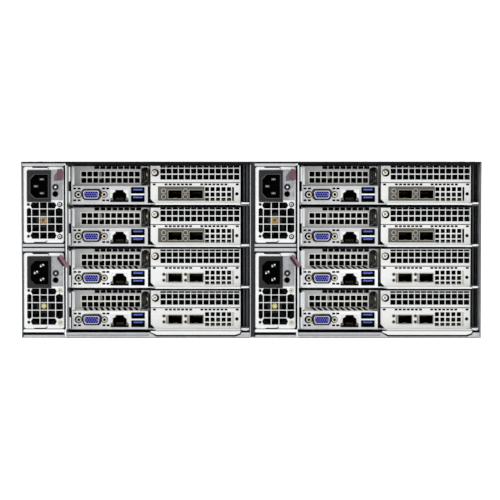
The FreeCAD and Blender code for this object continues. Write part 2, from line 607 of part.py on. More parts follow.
for side, xh in (("a", -HALF), ("b", SHIFT_B)):
    word = "left" if side == "a" else "right"
    save("psu_bay_" + word, psu_bay(side == "a"), xh)
    save("power_board_" + word, power_board(side == "a"), xh)
    for row in range(1, ROWS + 1):
        z = ROW0 + (ROWS - row) * ROW_PITCH
        name = "sled_%s%d_" % (side, row)
        save(name + "tray", tray_set, xh, z)
        save(name + "rear_io", rear_windowed if row < 3 else rear_plain, xh, z)
        save(name + "mainboard", boards, xh, z)
        save(name + "blower", rotor, xh, z)
    for k, z in enumerate(PSU_Z):
        name = "psu_%s%d_" % (side, k + 1)
        save(name + "case", case, xh, z)
        save(name + "inlet", inlet, xh, z)
        save(name + "fan", fan, xh, z)
        save(name + "latch", psu_latch(0.0 if k == 0 else LATCH_TILT), xh, z)
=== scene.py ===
import math
import bpy
import bmesh
import numpy as np
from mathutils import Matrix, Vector


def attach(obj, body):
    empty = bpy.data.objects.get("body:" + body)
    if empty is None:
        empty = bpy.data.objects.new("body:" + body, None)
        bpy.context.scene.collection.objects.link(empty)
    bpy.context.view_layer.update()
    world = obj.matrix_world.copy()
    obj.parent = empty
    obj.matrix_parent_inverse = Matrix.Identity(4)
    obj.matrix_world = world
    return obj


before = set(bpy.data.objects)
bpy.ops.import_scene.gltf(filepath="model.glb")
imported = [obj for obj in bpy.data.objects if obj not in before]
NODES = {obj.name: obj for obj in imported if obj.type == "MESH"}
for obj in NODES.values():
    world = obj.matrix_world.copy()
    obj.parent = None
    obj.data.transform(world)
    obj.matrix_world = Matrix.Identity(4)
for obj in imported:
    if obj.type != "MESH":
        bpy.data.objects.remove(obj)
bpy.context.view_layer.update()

MM = 0.001
YM = 376.0                                   # model Y of the frame's origin, measured from the chassis rear edge
XH = {"a": -224.0, "b": 2.0}                 # left edge of each half
ROW_Z = {1: 128.6, 2: 87.6, 3: 46.6, 4: 5.6}  # bottom of each sled cell, top row first
PSU_Z = {1: 93.0, 2: 8.9}
SLEDS = [(s, r) for s in "ab" for r in (1, 2, 3, 4)]
SUPPLIES = [(s, k) for s in "ab" for k in (1, 2)]


# ---------------------------------------------------------------- materials
def shade(c, k):
    return (min(c[0] * k, 1.0), min(c[1] * k, 1.0), min(c[2] * k, 1.0), 1.0)


def surf(name, col, rough, metal=0.0, vary=0.10, grain=(300, 300, 300), detail=5.0, rvary=0.07,
         bump=0.0, bump_grain=2200.0, cells=0.0, tint=None, coat=0.0, glow=None, spec=0.5):
    """Surface whose colour, roughness and small relief come from noise at the material's own grain."""
    m = bpy.data.materials.new(name)
    m.use_nodes = True
    nt = m.node_tree
    b = nt.nodes["Principled BSDF"]
    co = nt.nodes.new("ShaderNodeTexCoord")
    mp = nt.nodes.new("ShaderNodeMapping")
    mp.inputs["Scale"].default_value = grain
    nt.links.new(co.outputs["Object"], mp.inputs["Vector"])
    nz = nt.nodes.new("ShaderNodeTexNoise")
    nz.inputs["Scale"].default_value = 1.0
    nz.inputs["Detail"].default_value = detail
    nz.inputs["Roughness"].default_value = 0.6
    nt.links.new(mp.outputs["Vector"], nz.inputs["Vector"])
    ramp = nt.nodes.new("ShaderNodeValToRGB")
    ramp.color_ramp.elements[0].position = 0.30
    ramp.color_ramp.elements[1].position = 0.70
    ramp.color_ramp.elements[0].color = shade(col, 1.0 - vary)
    ramp.color_ramp.elements[1].color = shade(tint or col, 1.0 + vary)
    src = nz.outputs["Fac"]
    if cells:
        vo = nt.nodes.new("ShaderNodeTexVoronoi")
        vo.inputs["Scale"].default_value = cells
        nt.links.new(co.outputs["Object"], vo.inputs["Vector"])
        bw = nt.nodes.new("ShaderNodeRGBToBW")
        nt.links.new(vo.outputs["Color"], bw.inputs["Color"])
        mx = nt.nodes.new("ShaderNodeMath")
        mx.operation = "MULTIPLY_ADD"
        mx.inputs[1].default_value = 0.45
        nt.links.new(bw.outputs["Val"], mx.inputs[0])
        hf = nt.nodes.new("ShaderNodeMath")
        hf.operation = "MULTIPLY"
        hf.inputs[1].default_value = 0.55
        nt.links.new(nz.outputs["Fac"], hf.inputs[0])
        nt.links.new(hf.outputs[0], mx.inputs[2])
        src = mx.outputs[0]
    nt.links.new(src, ramp.inputs["Fac"])
    nt.links.new(ramp.outputs["Color"], b.inputs["Base Color"])
    rr = nt.nodes.new("ShaderNodeMapRange")
    rr.inputs["From Min"].default_value = 0.3
    rr.inputs["From Max"].default_value = 0.7
    rr.inputs["To Min"].default_value = max(rough - rvary, 0.03)
    rr.inputs["To Max"].default_value = min(rough + rvary, 1.0)
    nt.links.new(src, rr.inputs["Value"])
    nt.links.new(rr.outputs["Result"], b.inputs["Roughness"])
    b.inputs["Metallic"].default_value = metal
    b.inputs["Specular IOR Level"].default_value = spec
    if coat:
        b.inputs["Coat Weight"].default_value = coat
        b.inputs["Coat Roughness"].default_value = 0.15
    if glow:
        b.inputs["Emission Color"].default_value = (*glow[0], 1.0)
        b.inputs["Emission Strength"].default_value = glow[1]
    if bump:
        n2 = nt.nodes.new("ShaderNodeTexNoise")
        n2.inputs["Scale"].default_value = bump_grain
        n2.inputs["Detail"].default_value = 3.0
        nt.links.new(co.outputs["Object"], n2.inputs["Vector"])
        bp = nt.nodes.new("ShaderNodeBump")
        bp.inputs["Strength"].default_value = bump
        bp.inputs["Distance"].default_value = 0.0002
        nt.links.new(n2.outputs["Fac"], bp.inputs["Height"])
        nt.links.new(bp.outputs["Normal"], b.inputs["Normal"])
    return m


BRUSH = (70, 70, 2600)
zinc = surf("zinc_sheet", (0.43, 0.44, 0.455), 0.42, 0.7, 0.12, cells=260, bump=0.05)
dark_zinc = surf("shaded_zinc", (0.13, 0.135, 0.145), 0.45, 0.6, 0.15, BRUSH, bump=0.05)
strip = surf("zinc_strip", (0.265, 0.288, 0.295), 0.45, 0.6, 0.10, BRUSH, bump=0.05)
bay_lip = surf("bay_lip", (0.47, 0.48, 0.495), 0.40, 0.5, 0.10, BRUSH, bump=0.05)
# near-black for the metal shell of the video socket: painted shade for the dark outline round it
shell_painted_shade = surf("shell_painted_shade", (0.020, 0.018, 0.008), 0.55, 0.0, 0.3, (400, 400, 400), spec=0.08)
# pale zinc for edges and ends that catch the light: painted highlight
zinc_highlight = surf("zinc_painted_highlight", (0.80, 0.81, 0.81), 0.36, 0.45, 0.06, BRUSH, bump=0.04)
port_plate = surf("port_plate", (0.55, 0.56, 0.575), 0.38, 0.5, 0.08, BRUSH, bump=0.05)
# lighter copy of the port plate for the two lower rows: painted light that evens them with the upper rows
port_plate_low_painted_light = surf("port_plate_low_painted_light", (0.79, 0.80, 0.81), 0.38, 0.5, 0.08, BRUSH, bump=0.05)
supply_plate = surf("supply_plate", (0.71, 0.72, 0.725), 0.38, 0.45, 0.08, BRUSH, bump=0.04)
rim_nickel = surf("rim_nickel", (0.60, 0.59, 0.53), 0.35, 0.2, 0.15, (500, 500, 500))
cover_plate = surf("cover_plate", (0.70, 0.71, 0.705), 0.35, 0.4, 0.05, BRUSH, bump=0.04)
bracket_plate = surf("bracket_plate", (0.71, 0.72, 0.705), 0.36, 0.45, 0.07, BRUSH, bump=0.04)
grille_bars = surf("grille_bars", (0.92, 0.90, 0.85), 0.42, 0.3, 0.10, BRUSH, bump=0.05)
grille_plate = surf("grille_plate", (0.53, 0.54, 0.54), 0.42, 0.4, 0.10, BRUSH, bump=0.05)
card_face = surf("card_face", (0.105, 0.099, 0.086), 0.42, 0.6, 0.25, BRUSH, bump=0.06)
card_ring = surf("card_ring", (0.50, 0.48, 0.43), 0.38, 0.7, 0.15, (500, 500, 500))
supply_face = surf("supply_face", (0.33, 0.34, 0.355), 0.38, 0.45, 0.20, cells=220, bump=0.04)
# pale border of the supply face: painted highlight on its rounded edge
supply_rim_highlight = surf("supply_rim_highlight", (0.80, 0.81, 0.805), 0.36, 0.35, 0.05, BRUSH, bump=0.04)
steel = surf("screw_steel", (0.42, 0.395, 0.35), 0.30, 0.85, 0.14, (500, 500, 500), bump=0.05)
pale_brass = surf("pale_brass", (0.66, 0.60, 0.46), 0.28, 0.8, 0.15, (500, 500, 500), bump=0.05)
nickel = surf("bright_nickel", (0.62, 0.62, 0.61), 0.28, 0.8, 0.08, (400, 400, 400))
cream = surf("tin_plate", (0.66, 0.62, 0.52), 0.34, 0.65, 0.14, (500, 500, 500))
cage_tin = surf("cage_tin", (0.36, 0.335, 0.275), 0.36, 0.65, 0.18, (500, 500, 500))
# dark maroon for the shaded left side of a tilted latch tab: painted shade
maroon_painted_shade = surf("maroon_painted_shade", (0.022, 0.009, 0.012), 0.5, 0.0, 0.2, (700, 700, 700), bump=0.15, bump_grain=3000, spec=0.2)
# light maroon for the ribs, right side and tip of the latch tabs: painted highlight
maroon_painted_highlight = surf("maroon_painted_highlight", (0.20, 0.080, 0.110), 0.42, 0.0, 0.2, (500, 500, 500))
inlet_edge = surf("inlet_edge", (0.045, 0.045, 0.050), 0.45, 0.0, 0.25, (700, 700, 700))
hub_yellow = surf("hub_yellow", (0.55, 0.50, 0.06), 0.36, 0.3, 0.2, (500, 500, 500))
gold = surf("contact_gold", (0.62, 0.42, 0.15), 0.30, 1.0, 0.14, (600, 600, 600))
dull_gold = surf("dull_gold", (0.16, 0.11, 0.045), 0.40, 0.8, 0.2, (600, 600, 600))
# dark grey for the upright channel in the gap beside the sleds: painted shade
channel_painted_shade = surf("channel_painted_shade", (0.062, 0.066, 0.075), 0.45, 0.5, 0.18, BRUSH, bump=0.05)
# black foam of the filters, also used as painted shade in gaps, behind openings and under the cover's hem
foam_and_shade = surf("filter_foam_and_painted_shade", (0.008, 0.008, 0.009), 0.9, 0.0, 0.4, (900, 900, 900), bump=0.5, bump_grain=1500, spec=0.05)
black_paint = surf("black_paint", (0.012, 0.012, 0.014), 0.55, 0.0, 0.25, (900, 900, 900), bump=0.35, bump_grain=1800, spec=0.25)
cover_edge = surf("cover_edge", (0.030, 0.030, 0.033), 0.45, 0.0, 0.2, (900, 900, 900), bump=0.3, bump_grain=1800)
black_plastic = surf("black_plastic", (0.012, 0.012, 0.014), 0.5, 0.0, 0.25, (700, 700, 700), bump=0.22, bump_grain=3000, spec=0.2)
inlet_plastic = surf("inlet_plastic", (0.012, 0.012, 0.0145), 0.48, 0.0, 0.30, (700, 700, 700), bump=0.20, bump_grain=3000, spec=0.2)
# near-black painted shade, put in holes, slots, gaps and round edges where shade falls
shade_black = surf("painted_shade_black", (0.003, 0.003, 0.003), 0.85, 0.0, 0.3, (500, 500, 500), spec=0.05)
grey_plastic = surf("grey_plastic", (0.20, 0.20, 0.21), 0.48, 0.0, 0.12, (700, 700, 700), bump=0.15, bump_grain=3000)
dark_grey = surf("dark_grey_plastic", (0.11, 0.11, 0.115), 0.5, 0.0, 0.15, (700, 700, 700), bump=0.15, bump_grain=3000)
white_plastic = surf("white_plastic", (0.74, 0.74, 0.71), 0.38, 0.0, 0.06, (600, 600, 600), bump=0.08)
ivory = surf("ivory_plastic", (0.34, 0.33, 0.29), 0.45, 0.0, 0.10, (600, 600, 600), bump=0.08)
blue_video = surf("blue_video", (0.098, 0.104, 0.54), 0.40, 0.0, 0.14, (600, 600, 600), bump=0.12, bump_grain=3000, spec=0.15)
blue_tongue = surf("blue_tongue", (0.10, 0.17, 0.70), 0.36, 0.0, 0.14, (600, 600, 600), bump=0.10, bump_grain=3000, spec=0.2)
maroon = surf("maroon_plastic", (0.100, 0.034, 0.050), 0.45, 0.0, 0.25, (500, 500, 500), bump=0.25, bump_grain=2600)
board = surf("solder_mask", (0.014, 0.070, 0.034), 0.42, 0.0, 0.30, (900, 900, 900), detail=8, bump=0.10, bump_grain=1200, coat=0.2)
board_edge = surf("board_edge", (0.42, 0.39, 0.08), 0.5, 0.0, 0.25, (900, 900, 2500))
chip = surf("chip_epoxy", (0.016, 0.016, 0.018), 0.5, 0.0, 0.25, (900, 900, 900), bump=0.25, bump_grain=3500)
alu = surf("fin_aluminium", (0.56, 0.57, 0.58), 0.36, 0.85, 0.08, (80, 2600, 80), bump=0.05)
lid = surf("lid_nickel", (0.40, 0.41, 0.41), 0.30, 0.85, 0.08, (90, 90, 90), bump=0.03)
tape = surf("yellow_tape", (0.52, 0.38, 0.06), 0.45, 0.0, 0.15, (200, 200, 900), bump=0.1)
hub_gold = surf("hub_gold", (0.34, 0.15, 0.015), 0.40, 0.4, 0.45, (500, 500, 500), tint=(0.50, 0.33, 0.05))
hub_blue = surf("hub_blue", (0.04, 0.08, 0.26), 0.28, 0.2, 0.2, (600, 600, 600))
brown = surf("bronze_latch", (0.055, 0.045, 0.033), 0.5, 0.3, 0.6, (350, 350, 350), bump=0.3, bump_grain=900)
lens_clear = surf("lens_clear", (0.30, 0.30, 0.27), 0.18, 0.0, 0.2, (700, 700, 700), coat=0.5)
lens_dark = surf("lens_dark", (0.035, 0.034, 0.030), 0.20, 0.0, 0.25, (700, 700, 700), coat=0.5)
lens_green = surf("lens_green", (0.08, 0.36, 0.12), 0.18, 0.0, 0.2, (700, 700, 700), coat=0.6)
lens_amber = surf("lens_amber", (0.52, 0.26, 0.04), 0.18, 0.0, 0.2, (700, 700, 700), coat=0.6)


# ---------------------------------------------------------------- CAD nodes: a material for each solid, found from where its faces are
def paint(node, default, rules, xh=0.0, z=0.0):
    """rules: (material, (u0, u1, y0, y1, w0, w1)); the first box that holds a face's centre gives its material."""
    o = NODES[node]
    me = o.data
    n = len(me.polygons)
    c = np.zeros(n * 3)
    me.polygons.foreach_get("center", c)
    c = c.reshape(-1, 3) / MM
    c[:, 0] -= xh
    c[:, 1] += YM
    c[:, 2] -= z
    mats = [default]
    idx = np.zeros(n, np.int32)
    left = np.ones(n, bool)
    for m, (u0, u1, y0, y1, w0, w1) in rules:
        hit = left & (c[:, 0] >= u0) & (c[:, 0] <= u1) & (c[:, 1] >= y0) & (c[:, 1] <= y1) & (c[:, 2] >= w0) & (c[:, 2] <= w1)
        if hit.any():
            if m not in mats:
                mats.append(m)
            idx[hit] = mats.index(m)
            left &= ~hit
    me.materials.clear()
    for m in mats:
        me.materials.append(m)
    me.polygons.foreach_set("material_index", idx)
    me.update()


BIG = 2000.0
paint("chassis_base", zinc, [(dark_zinc, (-BIG, -222.0, -1, 0.1, -1, BIG)), (dark_zinc, (222.0, BIG, -1, 0.1, -1, BIG))])
paint("top_cover", black_paint, [])
paint("center_divider", zinc, [(black_paint, (-2, 4, -1, 1.0, -1, BIG)), (black_paint, (-4, 4, 729.9, 740, -1, BIG))])
# the rear ends of the rails are pale zinc as painted highlight
paint("guide_rails", zinc, [(zinc, (-BIG, BIG, -1, 1.3, -1, 5.5)), (zinc_highlight, (-BIG, BIG, -1, 9.3, -1, BIG))])
paint("rack_ear_left", black_paint, [])
paint("rack_ear_right", black_paint, [])
paint("cover_screws", steel, [])
paint("ear_screws", steel, [])
for side, word in (("a", "left"), ("b", "right")):
    # the rear edge of each bay wall is pale zinc as painted highlight
    paint("psu_bay_" + word, zinc, [(zinc, (0, 41.9, -1, 1.3, 0, 8.0)), (zinc_highlight, (41.9, 43.3, -1, 1.3, 0, BIG)), (bay_lip, (0, 43.3, -1, 1.3, 0, BIG))], XH[side])
    paint("power_board_" + word, board, [(black_plastic, (-1, 60, 340, 349.5, 0, BIG)), (white_plastic, (-1, 60, 352.1, 370, 0, BIG))], XH[side])

for side, row in SLEDS:
    n, xh, z = "sled_%s%d_" % (side, row), XH[side], ROW_Z[row]
    paint(n + "tray", zinc, [
        (strip, (43.0, 47.5, 2.9, 4.1, 0, 40)),
        # the front edge of the tray floor is pale zinc as painted highlight
        (zinc_highlight, (120, 214, 1.9, 17.2, 0, 3.0)),
        (maroon, (-1, 230, 735.05, 770, 0, 45)),
        (black_paint, (-1, 230, 732.9, 736, 0, 45))], xh, z)
    # black faces here are painted shade: the insides of the network jack, the USB ports and the cages, and the front
    # edge of the cage wall
    rules = [
        (steel, (126.0, 133.7, 12.7, 15.95, 28.8, 36.4)),
        (blue_video, (67.2 - 7.7, 67.2 + 7.7, 10.5, 22.1, 7.5, 15.1)),
        # the front of the video shell is near-black painted shade
        (shell_painted_shade, (67.2 - 9.3, 67.2 + 9.3, 9.9, 15.98, 6.0, 16.6)),
        (steel, (51.8, 57.4, 11.4, 15.98, 8.5, 14.1)),
        (steel, (77.0, 82.6, 11.4, 15.98, 8.5, 14.1)),
        (black_plastic, (57.0, 77.4, 21.9, 31.1, 4.4, 17.0)),
        (shade_black, (88.3, 101.0, 15.6, 40.0, 5.5, 15.4)),
        (nickel, (85.9, 103.3, 15.4, 36.1, 4.4, 16.2)),
        (blue_tongue, (107.9, 117.3, 16.7, 26.8, 15.1, 17.1)),
        (blue_tongue, (107.9, 117.3, 16.7, 26.8, 7.5, 9.5)),
        (shade_black, (106.5, 118.7, 15.6, 28.0, 4.8, 10.6)),
        (shade_black, (106.5, 118.7, 15.6, 28.0, 12.2, 18.1)),
        (nickel, (106.1, 119.1, 15.3, 34.1, 4.4, 18.5))]
    for a, b in ((142.0, 156.2), (162.8, 177.0)):
        rules += [(shade_black, (a + 0.3, b - 0.3, 15.9, 62, 7.3, 15.7)),
                  (cage_tin, (a - 0.05, b + 0.05, 15.3, 15.98, 6.9, 16.1)),
                  (nickel, (a - 0.05, b + 0.05, 17.02, 62.1, 6.9, 16.1))]
    if row < 3:
        rules.append((card_face, (131.3, 178.4, 16.99, 18.1, 4.1, 20.3)))
    rules += [
        (cover_plate, (125.1, 213.3, 15.9, 28.1, 23.2, 39.9)),
        (bracket_plate, (125.1, 213.3, 15.9, 17.1, 2.7, 22.6)),
        # pale strip at the left of the grille: painted highlight
        (zinc_highlight, (48.4, 50.5, 15.9, 17.1, 20.8, 38.6)),
        (grille_plate, (47.4, 124.0, 35.9, 37.1, 18.4, 40)),
        (shade_black, (123.9, 125.1, 16.9, 17.1, 4.4, 40)),
        (zinc, (123.9, 125.1, 16.9, 110.1, 4.4, 40))]
    # the two lower rows take the lighter port plate: painted light
    paint(n + "rear_io", port_plate if row < 3 else port_plate_low_painted_light, rules, xh, z)
    rules = [(board_edge, (126.9, 211.1, 17.9, 18.05, 5.3, 7.1)),
             # the front edge of the board is painted shade
             (shade_black, (29.0, 212.0, 18.4, 18.6, 2.7, 4.55)),
             (board, (29.0, 212.0, 18.0, 561.0, 2.7, 4.55)),
             (board, (126.9, 211.1, 17.9, 118.1, 5.3, 7.05)),
             (black_plastic, (189.0, 209.0, 69.0, 113.0, 4.4, 5.5)),
             (alu, (127.4, 160.1, 69.9, 110.1, 6.9, 15.1)),
             (chip, (59.9, 84.1, 59.9, 84.1, 4.4, 12.1))]
    for y0 in (130.0, 262.0):
        rules += [(lid, (101.9, 152.1, y0 + 21.9, y0 + 78.1, 4.4, 9.0)),
                  (dark_zinc, (83.9, 170.1, y0 - 0.1, y0 + 100.1, 36.95, 37.05)),
                  (alu, (83.9, 170.1, y0 - 0.1, y0 + 100.1, 8.9, 37.1)),
                  (board, (40.0, 212.0, y0 - 4.2, y0 + 104.2, 8.05, 36.1)),
                  (black_plastic, (40.0, 212.0, y0 - 8.2, y0 + 108.2, 4.4, 8.05))]
    rules += [(black_plastic, (61.0, 163.0, 395.0, 501.0, 4.4, 38.7)),
              (ivory, (11.0, 39.0, 365.0, 401.0, 2.7, 32.1)),
              (lid, (23.0, 201.0, 589.0, 691.0, 2.7, 18.0))]
    paint(n + "mainboard", board, rules, xh, z)
    paint(n + "blower", grey_plastic, [])

for side, k in SUPPLIES:
    n, xh, z = "psu_%s%d_" % (side, k), XH[side], PSU_Z[k]
    rules = [(steel if u > 10 else black_plastic, (u - 1.3, u + 1.3, 2.6, 4.25, w - 1.3, w + 1.3)) for u in (6.4, 37.0) for w in (6.2, 37.6)]
    rules += [(lens_clear, (30.6, 35.6, 2.5, 4.7, 51.8, 56.8)),
              # the inside of the case behind the fan openings is painted shade
              (shade_black, (3.0, 38.9, 4.15, 30.1, 4.0, 40.0)),
              (supply_plate, (1.8, 41.3, 2.9, 4.21, -0.1, 41.35)),
              (supply_face, (1.8, 41.3, 2.9, 4.21, -0.1, 74.4)),
              (board, (2.85, 4.55, 43.9, 334.1, 2.9, 71.1)),
              (tape, (4.4, 34.0, 109, 151, 7.9, 66.1)),
              (black_plastic, (4.4, 36.0, 59, 95, 7.9, 44.1)),
              (alu, (4.4, 36.0, 163, 217, 9.9, 40.1)),
              (chip, (4.4, 30.0, 163, 217, 43.9, 68.1)),
              (tape, (4.4, 32.0, 225, 257, 9.9, 66.1)),
              (black_plastic, (4.4, 30.0, 267, 313, 7.9, 64.1)),
              (black_plastic, (4.4, 21.1, 321, 334.1, 15.9, 58.1)),
              (gold, (18.9, 21.1, 334, 341, 17.9, 56.1))]
    paint(n + "case", supply_face, rules, xh, z)
    # the cavity of the inlet is painted shade, and the blade sides are painted shade round their pale tips
    paint(n + "inlet", inlet_plastic, [(dark_zinc, (11.5, 21.7, 4.9, 18.9, 47.2, 49.4)), (dark_zinc, (11.5, 21.7, 4.9, 18.9, 60.8, 63.0)),
                                       (dark_zinc, (11.5, 15.7, 4.9, 18.9, 54.0, 56.2)),
                                       (shade_black, (8.5, 26.1, 1.7, 19.1, 43.5, 66.7))], xh, z)
    paint(n + "fan", black_plastic, [])
    paint(n + "latch", maroon, [])


# ---------------------------------------------------------------- mesh building, in the part's own millimetres
class Shape:
    """Collects faces; u across, y into the rack, w up, in millimetres."""

    def __init__(self):
        self.v, self.f, self.k, self.s, self.mats = [], [], [], [], []

    def _mat(self, m):
        if m not in self.mats:
            self.mats.append(m)
        return self.mats.index(m)

    def add(self, verts, faces, m, smooth=False):
        base, k = len(self.v), self._mat(m)
        self.v += verts
        for f in faces:
            self.f.append([i + base for i in f])
            self.k.append(k)
            self.s.append(smooth)

    def box(self, u0, u1, y0, y1, w0, w1, m, c=0.0):
        """Box; c cuts its edges and corners."""
        if not c:
            v = [(u, y, w) for u in (u0, u1) for y in (y0, y1) for w in (w0, w1)]
            self.add(v, [(0, 1, 3, 2), (4, 6, 7, 5), (0, 4, 5, 1), (2, 3, 7, 6), (0, 2, 6, 4), (1, 5, 7, 3)], m)
            return
        lo, hi = (u0, y0, w0), (u1, y1, w1)
        v, at = [], {}
        for sx in (0, 1):
            for sy in (0, 1):
                for sz in (0, 1):
                    s = (sx, sy, sz)
                    for a in range(3):
                        p = [(hi[i] - (0 if i == a else c)) if s[i] else (lo[i] + (0 if i == a else c)) for i in range(3)]
                        at[s, a] = len(v)
                        v.append(tuple(p))
        faces = []
        for a in range(3):
            b, d = [i for i in range(3) if i != a]
            for e in (0, 1):
                q = []
                for i, j in ((0, 0), (1, 0), (1, 1), (0, 1)):
                    s = [0, 0, 0]
                    s[a], s[b], s[d] = e, i, j
                    q.append(at[tuple(s), a])
                faces.append(q)
            for i in (0, 1):
                for j in (0, 1):
                    s0, s1 = [0, 0, 0], [0, 0, 0]
                    s0[b], s0[d], s1[b], s1[d] = i, j, i, j
                    s1[a] = 1
                    faces.append([at[tuple(s0), b], at[tuple(s1), b], at[tuple(s1), d], at[tuple(s0), d]])
        for sx in (0, 1):
            for sy in (0, 1):
                for sz in (0, 1):
                    faces.append([at[(sx, sy, sz), 0], at[(sx, sy, sz), 1], at[(sx, sy, sz), 2]])
        self.add(v, faces, m)

    @staticmethod
    def _at(axis, a, b, c):
        return {"y": (a, c, b), "z": (a, b, c), "x": (c, a, b)}[axis]

    def lathe(self, axis, ca, cb, prof, m, n=24, smooth=True):
        """Turned form: prof is (radius, place along the axis) from one end to the other; radius 0 closes an end."""
        v, rings = [], []
        for r, c in prof:
            if r <= 0:
                rings.append([len(v)])
                v.append(self._at(axis, ca, cb, c))
            else:
                ring = []
                for i in range(n):
                    t = 2 * math.pi * i / n
                    ring.append(len(v))
                    v.append(self._at(axis, ca + r * math.cos(t), cb + r * math.sin(t), c))
                rings.append(ring)
        faces = []
        for p, q in zip(rings, rings[1:]):
            for i in range(n):
                j = (i + 1) % n
                if len(p) == 1 and len(q) == 1:
                    continue
                if len(p) == 1:
                    faces.append([p[0], q[i], q[j]])
                elif len(q) == 1:
                    faces.append([p[i], q[0], p[j]])
                else:
                    faces.append([p[i], q[i], q[j], p[j]])
        self.add(v, faces, m, smooth)

    def prism(self, axis, pts, c0, c1, m, c=0.0):
        """Closed outline (a, b) drawn along the axis; c draws the ends in to break the edges."""
        n = len(pts)
        ca, cb = sum(p[0] for p in pts) / n, sum(p[1] for p in pts) / n

        def ring(k, at):
            out = []
            for a, b in pts:
                da, db = a - ca, b - cb
                d = math.hypot(da, db) or 1.0
                out.append(self._at(axis, a - k * da / d, b - k * db / d, at))
            return out
        rings = [ring(c, c0), ring(0, c0 + c), ring(0, c1 - c), ring(c, c1)] if c else [ring(0, c0), ring(0, c1)]
        v, faces = [], []
        for r in rings:
            v += r
        for r in range(len(rings) - 1):
            for i in range(n):
                j = (i + 1) % n
                faces.append([r * n + i, r * n + j, (r + 1) * n + j, (r + 1) * n + i])
        faces.append(list(range(n)))
        faces.append([len(v) - 1 - i for i in range(n)])
        self.add(v, faces, m)

    def tube(self, pts, r, m, n=8):
        """Round bar along points, with closed ends."""
        pts = [Vector(p) for p in pts]
        side = None
        v, faces = [], []
        for i, p in enumerate(pts):
            d = ((pts[min(i + 1, len(pts) - 1)] - p).normalized() + (p - pts[max(i - 1, 0)]).normalized()).normalized()
            if side is None:
                side = d.orthogonal().normalized()
            side = (side - d * side.dot(d)).normalized()
            up = d.cross(side)
            for k in range(n):
                t = 2 * math.pi * k / n
                q = p + side * (r * math.cos(t)) + up * (r * math.sin(t))
                v.append((q.x, q.y, q.z))
        for i in range(len(pts) - 1):
            for k in range(n):
                j = (k + 1) % n
                faces.append([i * n + k, i * n + j, (i + 1) * n + j, (i + 1) * n + k])
        faces.append(list(range(n)))
        faces.append([(len(pts) - 1) * n + k for k in range(n)])
        self.add(v, faces, m, True)

    def holed(self, axis, outline, holes, c0, c1, m):
        """Flat plate with openings."""
        bm = bmesh.new()
        edges = []
        for loop in [outline] + list(holes):
            vs = [bm.verts.new((a, b, 0)) for a, b in loop]
            edges += [bm.edges.new((vs[i], vs[(i + 1) % len(vs)])) for i in range(len(vs))]
        bmesh.ops.triangle_fill(bm, use_beauty=True, use_dissolve=False, edges=edges)
        bm.verts.index_update()
        flat = [(v.co.x, v.co.y) for v in bm.verts]
        tris = [[v.index for v in f.verts] for f in bm.faces]
        bm.free()
        n = len(flat)
        v = [self._at(axis, a, b, c0) for a, b in flat] + [self._at(axis, a, b, c1) for a, b in flat]
        faces = tris + [[i + n for i in reversed(t)] for t in tris]
        at = 0
        for loop in [outline] + list(holes):
            k = len(loop)
            for i in range(k):
                j = (i + 1) % k
                faces.append([at + i, at + j, at + j + n, at + i + n])
            at += k
        self.add(v, faces, m)

    def mesh(self, name):
        me = bpy.data.meshes.new(name)
        me.from_pydata([(u * MM, (y - YM) * MM, w * MM) for u, y, w in self.v], [], self.f)
        for m in self.mats:
            me.materials.append(m)
        me.polygons.foreach_set("material_index", self.k)
        me.polygons.foreach_set("use_smooth", self.s)
        bm = bmesh.new()
        bm.from_mesh(me)
        bmesh.ops.recalc_face_normals(bm, faces=bm.faces)
        for e in bm.edges:
            e.smooth = len(e.link_faces) == 2 and e.calc_face_angle(0.0) < 0.65
        bm.to_mesh(me)
        bm.free()
        return me


def put(me, name, body, xh=0.0, z=0.0):
    o = bpy.data.objects.new(name, me)
    o.location = (xh * MM, 0, z * MM)
    bpy.context.scene.collection.objects.link(o)
    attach(o, body)
    return o


def circle(a, b, r, n=20, start=0.0):
    return [(a + r * math.cos(start + 2 * math.pi * i / n), b + r * math.sin(start + 2 * math.pi * i / n)) for i in range(n)]


def cross(a, b, r, t, turn=0.0):
    pts = [(t, t), (r, t), (r, -t), (t, -t), (t, -r), (-t, -r), (-t, -t), (-r, -t), (-r, t), (-t, t), (-t, r), (t, r)]
    c, s = math.cos(turn), math.sin(turn)
    return [(a + p * c - q * s, b + p * s + q * c) for p, q in pts]


def rounded(a0, a1, b0, b1, r, n=5):
    pts = []
    for ca, cb, t0 in ((a1 - r, b0 + r, -90), (a1 - r, b1 - r, 0), (a0 + r, b1 - r, 90), (a0 + r, b0 + r, 180)):
        for i in range(n + 1):
            t = math.radians(t0 + 90.0 * i / n)
            pts.append((ca + r * math.cos(t), cb + r * math.sin(t)))
    return pts


def screw_head(s, axis, a, b, r, c0, c1, m, turn=0.0, n=24):
    """Pan head from its seat at c0 to its face at c1, with a cross recess whose bottom is painted shade."""
    d = 1 if c1 > c0 else -1
    h = abs(c1 - c0)
    s.lathe(axis, a, b, [(r, c0), (r, c1 - d * h * 0.55), (r * 0.93, c1 - d * h * 0.25), (r * 0.80, c1 - d * h * 0.02)], m, n)
    s.holed(axis, circle(a, b, r * 0.80, n), [cross(a, b, r * 0.55, r * 0.14, turn)], c1 - d * h * 0.5, c1, m)
    s.lathe(axis, a, b, [(0, c1 - d * h * 0.5), (r * 0.62, c1 - d * h * 0.5)], shade_black, 12, False)


# ---------------------------------------------------------------- sled details
VU, VW = 67.2, 11.3


def dee(w_top, w_bot, h, c=1.5):
    return [(VU - w_bot / 2 + c, VW - h / 2), (VU + w_bot / 2 - c, VW - h / 2), (VU + w_bot / 2, VW - h / 2 + c),
            (VU + w_top / 2, VW + h / 2 - c), (VU + w_top / 2 - c, VW + h / 2), (VU - w_top / 2 + c, VW + h / 2),
            (VU - w_top / 2, VW + h / 2 - c), (VU - w_bot / 2, VW - h / 2 + c)]


